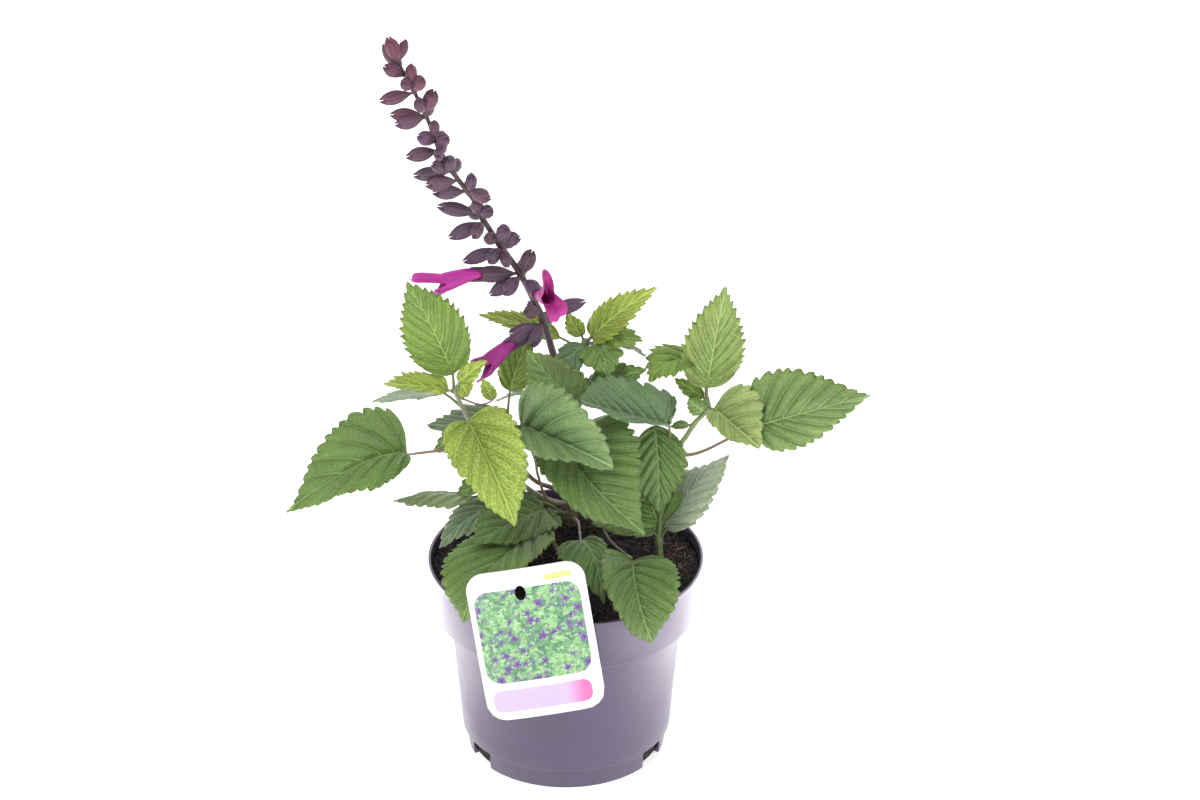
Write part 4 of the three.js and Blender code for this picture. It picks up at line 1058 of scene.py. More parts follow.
RIGHT_STEM = {
    "node": "right_leafy_stem", "tone": "green", "radius": (1.6, 1),
    "joints": [[45, 3, 82], [45, 3, 95], [44, 6, 105], [45, 8, 117], [47, 9, 133], [49, 10, 147],
               [56, 12, 156], [61, 13, 164], [67, 14, 171], [66, 13, 177]],
    "leaves": [
        leaf("grey", 32, [47, 5, 111], [77, 24, 141], [-.55, -.4, .75], [[44, 6, 104]],
             4, (5, -6), (.06, .15)),
        leaf("green", 19, [42, 5, 110], [12, 6, 114], [0, -.2, .95], [[44, 6, 104]], 3, 6),
        leaf("fresh", 30, [45, 7, 110], [30, 17, 146], [.1, -.9, .4], [[44, 6, 104]], 3, 6, .2),
        leaf("green", 28, [42, 12, 163], [44, 0, 122], [.2, -.95, .3],
             [[48, 10, 143], [46, 13, 156]], 3, 6),
        leaf("shade", 31, [49, 7, 166], [7, -13, 190], [-.15, -.4, .9],
             [[49, 10, 147], [49, 10, 156]], -.8, (26, 35), (.35, -.1), .8, widths=(1.15, .85)),
        leaf("pale", 30, [66, 12, 182], [74, 6, 238], [-.15, -.95, .3], [[66, 13, 176]],
             3.5, (-9, 16), (0, .05), wave=.5, sharp=True, gap=6.4),
        leaf("young", 24, [62, 20, 193], [39, 4, 190], [-.45, -.3, .85],
             [[66, 13, 176], [65, 20, 184]], 6, (21, 6), (.12, 0), .7, sharp=True),
        leaf("young", 8, [65, 15, 176], [51, 17, 185], [-.3, -.7, .6], [[66, 13, 173]], 1, 6),
        leaf("fresh", 9, [65, 12, 170], [57, 9, 178], [-.3, -.8, .5], [[66, 14, 170]], 1, 6),
        leaf("olive", 32, [69, 10, 173], [90, -14, 165], [.1, -.5, .85], [[67, 14, 171]],
             .5, (32, 46), (0, .09), widths=(.8, 1.2)),
        leaf("bright", 38, [87, -3, 170], [142, 2, 184], [.15, -.75, .5],
             [[49, 10, 148], [61, 8, 150], [78, 4, 161]], 2, (6, 0), (.08, .15), .3,
             radius=.8, stem="brown", widths=(.8, 1.2), gap=7),
        leaf("green", 5, [58, 13, 163], [49, 13, 162], [0, -.5, .8], [[60, 13, 163]], .5, 6),
    ],
}

TOP_STEM = {
    "node": "top_leafy_stem", "tone": "green", "radius": (1.2, .8),
    "joints": [[5.4, 27.6, 161.5], [7.5, 28.5, 170], [6, 29, 181], [8, 29, 195], [10, 28, 200]],
    "leaves": [
        leaf("lime", 17, [12, 28, 201], [42, 20, 231], [-.3, -.7, .5], [[9, 28, 198]], 4, 12, .1,
             sharp=True),
        leaf("grey", 10, [14, 31, 202], [25, 34, 211], [.2, .9, .2], [[9, 28, 198]], 1, 6),
        leaf("lime", 9, [8, 29, 201], [1, 28, 214], [-.3, -.8, .4], [[9, 28, 198]], 1, 8),
        leaf("young", 16, [15, 27, 200], [36, 22, 203], [0, -.5, .85], [[9, 28, 197]], 3, 8,
             sharp=True),
        leaf("grey", 14, [16, 28, 197], [38, 28, 192], [0, .6, .75], [[9, 28, 196]], 3, 4,
             sharp=True),
        leaf("shade", 15, [9, 22, 201], [-3, 13, 186], [-.4, -.7, .6], [[10, 28, 200]], 4, 4),
        leaf("fresh", 22, [13, 24, 200], [21, 8, 191], [.1, -.3, .9], [[10, 28, 200]], 4, -4),
        leaf("lime", 14, [-2, 33, 199], [-40, 34, 211], [0, -.4, .9],
             [[8, 29, 194], [3, 32, 196]], 2, 8, radius=.6, sharp=True),
        leaf("fresh", 19, [9, 25, 170], [38, 18, 190], [-.1, -.6, .8], [[6, 28, 167]], 4, 8),
    ],
}

BACK_STEM = {
    "node": "back_leafy_stem", "tone": "green", "radius": (1.5, 1),
    "joints": [[22, 36, 82], [22, 36, 96], [23, 40, 108], [21, 44, 122], [20, 45, 130]],
    "leaves": [
        leaf("green", 26, [26, 47, 114], [42, 74, 112], [.1, .3, 1], [[22, 41, 112]], 6, 8, .1),
        leaf("green", 30, [16, 50, 124], [2, 78, 118], [-.1, .3, 1], [[21, 44, 122]], 6, 8, .1),
        leaf("fresh", 15, [25, 42, 134], [36, 30, 140], [.2, .2, 1], [[20, 45, 130]], 2, 10),
    ],
}

LEAFY_STEMS = [MAIN_STEM, FRONT_STEM, LEFT_STEM, INNER_STEM, RIGHT_STEM, TOP_STEM, BACK_STEM]


def place_piece(piece, *nodes):
    """A piece of the plant, which stands for its node: it is hung under the root body, and the node's
    own parts are hidden.
    """
    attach(piece, "root")
    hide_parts(*nodes)
    return piece


def knots(stem, count):
    """The stem's radius along it, with a swelling at each leaf's joint."""
    line = smooth_line(stem["joints"], count)
    share = np.linspace(0, 1, count)
    radius = stem["radius"][0] + (stem["radius"][1] - stem["radius"][0]) * share
    for grown in stem["leaves"]:
        away = np.linalg.norm(line - np.array(grown.stalk[0]), axis=1)
        radius = radius + 0.22 * stem["radius"][1] * np.exp(-(away / 1.6)**2)
    return radius


def build_leafy_stem(stem, finishes, number):
    """A leafy stem in three pieces: its blades, its stem with the stalks, and their fine hairs."""
    node = stem["node"]
    blades = Gathered("blade", "vein_line", "flat", "tone", "look")
    paths = Gathered("thick_line", "tone")
    count = len(stem["joints"]) * 9
    add_path(paths, stem["joints"], knots(stem, count), STALKS[stem["tone"]], count)
    for i, grown in enumerate(stem["leaves"]):
        add_blade(blades, grown, number + i)
        add_petiole(paths, grown)
    leaves = blades.make(node + "_blades", finishes.leaf)
    stalks = sweep(paths, node + "_stalks", finishes.stem)
    hairs = add_hairs("stalk", stalks, node, number, finishes.hair)
    for piece in (leaves, stalks, hairs):
        place_piece(piece, node)


# ---- Flower spike -----------------------------------------------------------------------------

SPIKE_STEM = [
    [3, 26, 162.7], [2, 24, 170], [-3, 23, 186], [-6, 22, 198], [-10, 21, 214], [-14, 20, 224],
    [-20, 19, 238], [-31, 17, 257], [-38, 16, 270], [-41, 15, 278], [-49, 13, 291],
    [-56, 11, 305], [-61, 10, 320], [-66, 8, 333], [-74, 6, 351],
]
SPIKE = {
    "radius": (1.8, 0.7),
    "points": 130,
    "joints": (214, 238, 255, 269, 283, 294, 307, 323, 336),  # heights where it swells
    "swelling": (0.35, 1.5),  # how much and how far
    "redder": (296, 56),  # from which height and over how much of it
    "calyx_girth": 7.4,
}

# Each calyx: height of its joint, heading (0 is right, 270 front) and rise in degrees, length.
CALYCES = [
    [212, 188, -14, 16], [213, 243, -28, 14], [211, 80, -5, 12],
    [217, 225, 30, 11], [217, 12, 12, 21], [216, 120, 5, 12],
    [238, 325, 66, 15], [238, 197, -27, 16], [238, 233, -18, 13], [237, 90, 5, 13],
    [253, 190, -17, 18], [253, 242, -8, 12], [253, 283, -16, 12], [254, 60, -10, 12],
    [257, 325, 20, 13], [256, 230, 35, 10], [257, 300, 45, 14],
    [267, 193, -21, 17], [267, 245, -12, 12], [269, 120, -5, 12],
    [271, 175, 9, 19], [271, 253, 53, 11], [271, 301, 30, 11],
    [282, 294, 66, 12], [283, 320, 3, 13], [283, 193, 4, 15], [282, 90, 0, 12],
    [289, 201, 1, 15], [294, 183, -6, 17], [295, 264, 48, 11], [295, 222, 28, 12],
    [294, 80, -5, 12], [303, 268, 54, 10],
    [305, 198, -3, 15], [305, 267, 12, 11], [309, 222, 32, 12], [311, 266, 65, 11],
    [309, 303, 32, 10], [308, 80, 0, 11],
    [323, 188, 5, 15], [322, 202, -4, 14], [324, 242, 54, 11], [324, 324, 66, 13],
    [323, 80, 0, 11], [335, 187, -12, 15], [336, 306, 48, 11], [337, 242, 38, 10],
    [335, 90, 0, 10], [338, 275, 74, 12], [343, 206, 34, 12], [345, 144, 46, 15],
    [349, 162, 68, 13], [350, 60, 55, 10],
]

BLOOMS = {
    "bloom_left": {"joint": [-21, 19, 239], "mouth": [-43, 12, 242], "hood": [-70, 4, 244],
                   "lip": [-61, 4, 233], "tone": paint(178, 34, 146), "twist": -42},
    "bloom_front": {"joint": [-19, 19, 236], "mouth": [-11, 8, 233], "hood": [-9, -1, 250],
                    "lip": [-1, -5, 226], "tone": paint(156, 14, 116), "twist": -12},
    "bloom_low": {"joint": [-11, 21, 212], "mouth": [-27, 11, 205], "hood": [-43, 2, 200],
                  "lip": [-40, 0, 191], "tone": paint(150, 28, 124), "twist": -20},
}


# A calyx: height and radius along its bell. For its mouth, how far the outer and the inner rings
# go towards the lobes' ends, with their radii; then the lobes' reach and the floor's height.
BELL = [(0, .17), (.06, .16), (.11, .2), (.17, .34), (.25, .56), (.35, .79), (.45, .94),
        (.55, 1.0), (.64, .98), (.73, .88)]
BELL_END = 0.74
LOBES = (0.0, 0.62), (2.45, 0.42), (3.83, 0.42)  # heading and width: a broad one, two narrow ones
OPEN_MOUTH = [(.35, .88), (.7, .88), (1, .9)], [(.72, .8), (.4, .7), (.1, .5)], .26, 0.6
CLOSED_MOUTH = [(.3, .74), (.62, .5), (.85, .3), (1, .13)], [(.8, .05)], .17, 0.76

# A bloom: shares and radii along its tube. For its hood and lower lip, the same for how high they
# stand off their middle line and for half their width, after the tube's own radius.
TUBE = [0, .2, .43, .7, .9, 1], [1.8, 2.4, 3.0, 3.8, 4.3, 4.3]
TUBE_POINTS, FLAP_POINTS = (24, 22), (16, 13)
ROUNDNESS = 0.86  # the tube's width against its height
WAY_ROUND = 6.283
HOOD = {
    "sign": 1, "ahead": 3.0, "notch": 0, "ripple": 0, "twist": 0, "pale": 0.15,
    "high_at": [0, .3, .6, .85, .96, 1], "high": [4.4, 4.6, 4.4, 3.4, 1.4],
    "wide_at": [0, .3, .6, .85, .96, 1], "wide": [2.9, 2.5, 2.3, 1.6, .6],
}
LIP = {
    "sign": -1, "ahead": 2.0, "notch": 1, "ripple": 0.4, "twist": 1, "pale": 0.8,
    "high_at": [0, .3, .6, 1], "high": [3.4, 1.2, -1.6],
    "wide_at": [0, .3, .6, .85, 1], "wide": [4.6, 5.6, 5.6, 4.6],
}


def calyx_shape(name, is_open):
    """One calyx, a unit long and a unit in radius: a thin foot, a ribbed bell and three lobes."""
    around = 20
    turn, ones = full_turn(around), np.ones(around)
    lobe = np.maximum.reduce([
        np.exp(-(((turn - a + np.pi) % (2 * np.pi) - np.pi) / w)**2) for a, w in LOBES])
    rib = 0.5 + 0.5 * np.cos(turn * 10)
    lips, hollow, reach, floor = OPEN_MOUTH if is_open else CLOSED_MOUTH
    rings, shell = [], []

    def ring(z, radius, depth):
        radius = radius * (1 + 0.07 * (rib - 0.5) * min(1, radius))
        rings.append(np.stack([np.cos(turn) * radius, np.sin(turn) * radius * 0.8, z * ones], 1))
        shell.append(np.stack([rib * (1 - depth), z * ones, np.full(around, depth)], 1))

    for z, radius in BELL:
        ring(z, radius, 0.0)
    tip = BELL_END + 0.06 + reach * lobe
    for share, radius in lips:
        ring(BELL_END + (tip - BELL_END) * share, radius, 0.0)
    for share, radius in hollow:
        ring(0.6 + (tip - 0.6) * share, radius, 1.0)
    mesh = Gathered("shell")
    mesh.add(np.vstack([*rings, [[0, 0, -0.01]], [[0, 0, floor]]]) / MM,
             closed_rings(len(rings), around), shell=np.vstack([*shell, [[0, 0, 0]], [[0, .5, 1]]]))
    return mesh.make(name)


def pointing(heading, rise):
    h, r = math.radians(heading), math.radians(rise)
    return np.array([math.cos(h) * math.cos(r), math.sin(h) * math.cos(r), math.sin(r)])


def on_spike(z):
    heights = [p[2] for p in SPIKE_STEM]
    return np.array([np.interp(z, heights, [p[k] for p in SPIKE_STEM]) for k in range(3)])


def calyx_points(name, rows):
    """A mesh of single points with the values that the whorl tree reads."""
    spots, aims, reaches, girths, tones = zip(*rows)
    mesh = Gathered("aim", "tone")
    mesh.add(spots, aim=aims, tone=tones)
    source = mesh.make(name)
    for label, sizes in (("reach", reaches), ("girth", girths)):
        values = [size * MM for size in sizes]
        source.data.attributes.new(label, "FLOAT", "POINT").data.foreach_set("value", values)
    return source


def calyx_tone(z, number):
    """Dark plum low on the spike, redder towards its top."""
    low, high = np.array(paint(70, 50, 68)[:3]), np.array(paint(88, 38, 59)[:3])
    start, over = SPIKE["redder"]
    share = np.clip((z - start) / over, 0, 1)
    warm = np.array([1.14, 0.98, 0.9]) if number % 3 == 0 else np.array([0.98, 0.98, 1.1])
    return (low + (high - low) * share) * warm * (0.85 + 0.3 * ((number * 0.37) % 1))


def spike_stem():
    """The path of the spike's own stem, swollen where calyces leave it."""
    count = SPIKE["points"]
    low, high = SPIKE["radius"]
    radius = low + (high - low) * np.linspace(0, 1, count)
    heights = smooth_line(SPIKE_STEM, count)[:, 2]
    more, reach = SPIKE["swelling"]
    for z in SPIKE["joints"]:
        radius = radius + more * np.exp(-((heights - z) / reach)**2)
    paths = Gathered("thick_line", "tone")
    add_path(paths, SPIKE_STEM, radius, STALKS["plum"], count)
    return paths


def build_spike(finishes):
    widest = SPIKE["calyx_girth"]
    closed, opened = calyx_shape("closed_calyx", False), calyx_shape("open_calyx", True)
    rows = []
    for i, (z, heading, rise, length) in enumerate(CALYCES):
        thick = min(widest, 3.4 + length * 0.28)
        girth = thick / 2 * (0.9 + 0.16 * ((i * 0.618) % 1))
        rows.append((on_spike(z), pointing(heading, rise), length + 2, girth, calyx_tone(z, i)))
    buds_source = calyx_points("bud_points", rows)
    rows = []
    for i, bloom in enumerate(BLOOMS.values()):
        way = np.subtract(bloom["mouth"], bloom["joint"])
        rows.append((bloom["joint"], unit(way), np.linalg.norm(way), widest * 0.56,
                     calyx_tone(240, i)))
    open_source = calyx_points("open_points", rows)
    buds = grow(WHORL_TREE, buds_source, "flower_spike_calyces", Calyx=closed,
                Material=finishes.calyx)
    opens = grow(WHORL_TREE, open_source, "flower_spike_open_calyces", Calyx=opened,
                 Material=finishes.calyx)
    stem = sweep(spike_stem(), "flower_spike_stem", finishes.stem)
    hairs = [
        add_hairs(kind, piece, piece.name, seed, finishes.hair)
        for kind, piece, seed in (("calyx", buds, 70), ("calyx", opens, 71), ("spike", stem, 72))]
    drop(closed, opened, buds_source, open_source)
    for piece in (buds, opens, stem, *hairs):
        place_piece(piece, "flower_spike")


def add_flap(mesh, bloom, form, throat, end, radius, up, side, ahead):
    """The hood or the lower lip of a bloom, from the mouth of its tube to the end."""
    sign, rows, across = form["sign"], *FLAP_POINTS
    bend = throat + ahead * form["ahead"] + (end - throat) * 0.35 + up * sign * 1.2
    spine = smooth_line([throat, bend, end], rows)
    share = np.linspace(0, 1, rows)
    high = np.interp(share, form["high_at"], [radius, *form["high"]])
    wide = np.interp(share, form["wide_at"], [radius * ROUNDNESS, *form["wide"]])
    arc = np.linspace(-1, 1, across) * np.pi / 2
    lobes = 0.9 * np.exp(-(arc / 0.35)**2) + 3.0 * np.sin(arc)**4
    grid = []
    for i, b in enumerate(share):
        notch = form["notch"] * b**3 * lobes
        ripple = form["ripple"] * b * np.sin(arc * 5)
        turned = math.radians(form["twist"] * bloom["twist"]) * b
        rise = up * math.cos(turned) - side * math.sin(turned)
        width = side * math.cos(turned) + up * math.sin(turned)
        grid.append(spine[i] + np.outer(sign * high[i] * np.cos(arc) + ripple, rise)
                    + np.outer(sign * wide[i] * np.sin(arc), width)
                    - np.outer(notch * np.ones(across), unit(end - throat)))
    values = np.stack([np.repeat(0.6 + 0.4 * share, across), np.tile(arc / WAY_ROUND + .25, rows),
                       np.repeat(form["pale"] * share**1.5, across)], 1)
    faces = rings_of(rows, across, close=False)
    mesh.add(np.vstack(grid), faces, petal=values, tone=bloom["tone"][:3])


def build_bloom(name, bloom, finishes):
    """An open flower: a tube that widens out of its calyx, a narrow hood and a notched lower lip."""
    joint, mouth, hood, lip = (
        np.array(bloom[part], float) for part in ("joint", "mouth", "hood", "lip"))
    root = joint + (mouth - joint) * 0.6 + unit(mouth - joint) * 0.3
    throat = ((hood + lip) / 2) * 0.55 + mouth * 0.45
    around, steps = TUBE_POINTS
    centres = smooth_line([root, mouth, throat], steps)
    tangents = unit(np.gradient(centres, axis=0))
    spread = unit(hood - lip)
    ups = unit(spread - tangents * (tangents @ spread)[:, None])
    sides = np.cross(tangents, ups)
    share = np.linspace(0, 1, steps)
    radii = np.interp(share, *TUBE)
    turn = full_turn(around)
    rings = [c + r * (np.cos(turn)[:, None] * up + np.sin(turn)[:, None] * ROUNDNESS * side)
             for c, up, side, r in zip(centres, ups, sides, radii)]
    petal = [np.stack([np.full(around, a * 0.6), turn / WAY_ROUND, np.zeros(around)], 1)
             for a in share]
    mesh = Gathered("petal", "tone")
    mesh.add(np.vstack(rings), rings_of(steps, around), petal=np.vstack(petal),
             tone=bloom["tone"][:3])
    up = ups[-1]
    for form, end in ((HOOD, hood - up * 1.8), (LIP, lip)):
        add_flap(mesh, bloom, form, throat, end, radii[-1], up, sides[-1], tangents[-1])
    flower = mesh.make(name + "_petals", finishes.petal)
    join_seams(flower)
    wall = flower.modifiers.new("thickness", "SOLIDIFY")
    wall.thickness, wall.offset = 0.35 * MM, 0
    soft = flower.modifiers.new("soft", "SUBSURF")
    soft.levels = soft.render_levels = 1
    # The style lies under the hood and ends a little past it.
    start = throat + up * 1.2
    middle = (start + hood) / 2 + up * 0.4
    past = hood + unit(hood - throat) * 1.2 - up * 0.6
    paths = Gathered("thick_line", "tone")
    add_path(paths, [start, middle, hood - up * 0.8, past], [.28, .26, .24, .3],
             paint(122, 30, 104), 24)
    style = sweep(paths, name + "_style", finishes.stem)
    hairs = add_hairs("petal", flower, name, 90 + len(name), finishes.hair)
    for piece in (flower, style, hairs):
        place_piece(piece, name)


def join_seams(piece, reach=0.00002):
    """Merges points that lie together, and turns every face outwards."""
    work = bmesh.new()
    work.from_mesh(piece.data)
    bmesh.ops.remove_doubles(work, verts=work.verts, dist=reach)
    bmesh.ops.recalc_face_normals(work, faces=work.faces)
    work.to_mesh(piece.data)
    work.free()


# ---- Pot, soil and card -----------------------------------------------------------------------

POT = {"rim": 65, "height": 100, "wall": 1.4, "collar_low": 62.4, "foot": 47, "shoulder": 74,
       "band": 10, "around": 192}
NOTCH = {"headings": (90, 210, 330), "width": 16, "depth": 9, "height": 10, "corner": 1.6}
SOIL = {
    "level": 94.5, "mound": 2.5, "bumps": 0.5, "gap": 0.3, "around": 150,
    "rim_bits": 90, "fibres": 260,
    "fibres_within": 61.5,  # mm from the middle
    "by_the_rim": (0.35, 48, 13, -28, 42),  # share of fibres there, ring in mm, angles in degrees
}
# Crumbs: how many on a square metre, their radius in metres, and their seed.
CRUMBS = [("soil_coarse_crumbs", 6.5e4, 0.0013, 5), ("soil_fine_crumbs", 4.2e5, 0.0006, 8),
          ("soil_rim_crumbs", 1.6e6, 0.0006, 11)]
FIBRE_TONES = (84, 52, 40), (58, 40, 34), (108, 76, 58)


def lathe(profile, around):
    """A closed shape turned round the Z axis; the profile starts and ends on the axis."""
    turn = full_turn(around)
    rings = [np.stack([np.cos(turn) * r, np.sin(turn) * r, np.full(around, z)], 1)
             for r, z in profile[1:-1]]
    points = np.vstack([*rings, [[0, 0, profile[0][1]]], [[0, 0, profile[-1][1]]]])
    return points, closed_rings(len(rings), around)


def build_pot(finishes):
    """The pot's shell: its outside from the middle of the foot up to the rim, then its inside."""
    rim, wall = POT["rim"], POT["wall"]
    shoulder, band = POT["shoulder"], POT["band"]
    profile = [
        (0, 0), (20, 0), (40, 0), (46.4, 0), (46.85, 0.15), (47.05, 0.6), (47.55, band - .6),
        (47.7, band - .1), (48.2, band + .25), (49.2, band + .5), (49.65, band + .75),
        (49.85, band + 1.3), (50.4, 18), (51.5, 32), (52.7, 46), (53.8, 59),
        (54.85, shoulder - 3), (55.1, shoulder - 1.9), (55.9, shoulder - 1.3),
        (60.4, shoulder - .45), (61.9, shoulder - .2), (62.35, shoulder + .15),
        (62.5, shoulder + .8), (63.3, 84), (64.0, 94), (64.15, 97.9), (64.3, 98.5),
        (64.8, 98.75), (rim - .02, 99.1), (rim, 99.6), (rim - .15, 99.92), (rim - .6, 100),
        (63.95, 100), (63.7, 99.85), (63.5, 99.3), (62.4, 88), (61.1, 76), (60.7, 75.5),
        (54.4, 74.1), (53.7, 73.4), (53.3, 70), (51.1, 40), (48.6, 13), (48.2, 12.3),
        (46.5, 11.6), (46.2, 11), (45.7, 2), (45.3, wall), (0, wall),
    ]
    mesh = Gathered()
    mesh.add(*lathe(profile, POT["around"]))
    pot = mesh.make("pot_shell", finishes.pot)
    # Each notch is cut out of the foot by a block with two round upper corners.
    corner, top, half = NOTCH["corner"], NOTCH["height"], NOTCH["width"] / 2
    start = POT["foot"] - NOTCH["depth"]
    outline = [(-half, -5), (half, -5), (half, top - corner)]
    upright = math.pi / 2
    for middle, angles in ((half - corner, (.5, 1.05, upright)),
                           (corner - half, (upright, 2.09, 2.64))):
        outline += [(middle + corner * math.cos(a), top - corner + corner * math.sin(a))
                    for a in angles]
    outline.append((-half, top - corner))
    n = len(outline)
    cutters = Gathered()
    for heading in NOTCH["headings"]:
        h = math.radians(heading)
        out, side = np.array([math.cos(h), math.sin(h), 0]), np.array([-math.sin(h), math.cos(h), 0])
        points = [out * r + side * x + np.array([0, 0, z])
                  for r in (start, start + 18) for x, z in outline]
        faces = [tuple(range(n))[::-1], tuple(range(n, 2 * n))]
        faces += [(k, (k + 1) % n, (k + 1) % n + n, k + n) for k in range(n)]
        cutters.add(points, faces)
    cutter = cutters.make("notch_cutter")
    join_seams(cutter)
    cut = pot.modifiers.new("notches", "BOOLEAN")
    cut.object, cut.solver, cut.operation = cutter, "EXACT", "DIFFERENCE"
    pot.data = plain_mesh(pot, "pot_shell_cut")
    pot.modifiers.remove(cut)
    drop(cutter)
    pot.data.shade_smooth()
    pot.data.set_sharp_from_angle(angle=math.radians(50))
    place_piece(pot, "pot")


def soil_height(x, y):
    share = np.minimum(1, np.hypot(x, y) / POT["rim"])
    lumps = np.sin(x * .31 + 1.1) * np.cos(y * .27) + .6 * np.sin((x - y) * .53)
    return SOIL["level"] + SOIL["mound"] * (1 - share**2) + SOIL["bumps"] * lumps


def soil_edge():
    """The radius of the soil where it meets the collar, a small gap off its wall."""
    low, shoulder = POT["collar_low"], POT["shoulder"]
    outside = low + (POT["rim"] - low) * (SOIL["level"] - shoulder) / (POT["height"] - shoulder)
    return outside - POT["wall"] - SOIL["gap"]


def soil_shape(edge):
    """The soil's body, with its surface in fine rings made uneven by noise."""
    level = SOIL["level"]
    shares = [1, .985, *np.linspace(.96, .04, 36)]
    profile = [(0, 1.7), (45.3, 1.7), (45.9, 11.7), (48.1, 12.5), (53.3, 74.3), (60.7, 75.7)]
    profile += [(edge * a, level) for a in shares] + [(0, level)]
    points, faces = lathe(profile, SOIL["around"])
    for p in points:
        if p[2] > level - 0.01:
            inner = max(0, min(1, (edge - math.hypot(p[0], p[1])) / 1.5))
            rough = noise.fractal((p[0] * .22, p[1] * .22, 3.3), 1.0, 2.0, 4) * 1.1
            clods = noise.noise((p[0] * .09, p[1] * .09, 9.1)) * 1.4
            p[2] = soil_height(p[0], p[1]) + (rough + clods) * inner
    return points, faces


def rim_bits(draw, edge):
    """Where bits of soil cling inside the rim, more of them left and right."""
    mesh = Gathered()
    for _ in range(SOIL["rim_bits"]):
        a = draw.choice([0, math.pi]) + draw.normal() * 0.5
        z = draw.uniform(96, 99.6)
        r = edge + (z - SOIL["level"]) * 0.1 - draw.uniform(.1, .5)
        spot = np.array([r * math.cos(a), r * math.sin(a), z])
        mesh.add(spot + draw.uniform(-.7, .7, (3, 3)), [(0, 1, 2)])
    return mesh.make("soil_rim_bed")


def fibre_paths(draw):
    """Peat fibres that lie on the soil, each a short bent line, more of them at the right rim."""
    paths, within = Gathered("thick_line", "tone"), SOIL["fibres_within"]
    by_rim, near, deep, first, last = SOIL["by_the_rim"]
    for _ in range(SOIL["fibres"]):
        r, a = (near + deep) * math.sqrt(draw.random()), draw.random() * 2 * math.pi
        if draw.random() < by_rim:
            r, a = near + deep * draw.random(), math.radians(draw.uniform(first, last))
        x, y = r * math.cos(a), r * math.sin(a)
        heading = draw.random() * 2 * math.pi
        length, bend = draw.uniform(2, 8), draw.uniform(-1, 1)
        places = []
        for t in (0, .33, .66, 1):
            px = x + math.cos(heading + bend * t) * length * t
            py = y + math.sin(heading + bend * t) * length * t
            reach = math.hypot(px, py)
            if reach > within:
                px, py = px * within / reach, py * within / reach
            lift = 0.5 + 0.9 * math.sin(math.pi * t) * draw.random()
            places.append([px, py, float(soil_height(px, py)) + lift])
        tone = paint(*FIBRE_TONES[draw.integers(3)])
        thin = draw.uniform(.09, .22)
        add_path(paths, places, [thin, thin * 1.2, thin * .5], tone, 7)
    return paths


def build_soil(finishes):
    edge = soil_edge()
    points, faces = soil_shape(edge)
    body, top = Gathered(), Gathered()
    body.add(points, faces)
    soil = body.make("soil_body", finishes.soil)
    top.add(points, [face for face in faces if all(points[i][2] > 90 for i in face)])
    bed = top.make("soil_bed")
    draw = np.random.default_rng(14)
    clinging = rim_bits(draw, edge)
    crumbs = []
    for source, (name, density, radius, seed) in zip((bed, bed, clinging), CRUMBS):
        crumbs.append(grow(CRUMB_TREE, source, name, Density=density, Radius=radius, Seed=seed,
                           Material=finishes.soil))
    strands = sweep(fibre_paths(draw), "soil_fibres", finishes.fibre)
    drop(bed, clinging)
    for piece in (soil, *crumbs, strands):
        place_piece(piece, "soil")


LABEL = {"width": 55, "height": 74, "thick": 0.6, "corner": 9, "bend": 1.4, "tilt": 8, "roll": 9,
         "centre_x": -14, "below_rim": 7, "stand_off": 0.95, "hole": (-3, 25, 2.5, 3.75)}
STRIP = {"sides": (-8.0, 0.0), "depths": (-66.0, -61.3), "heights": (87.0, 100.3)}


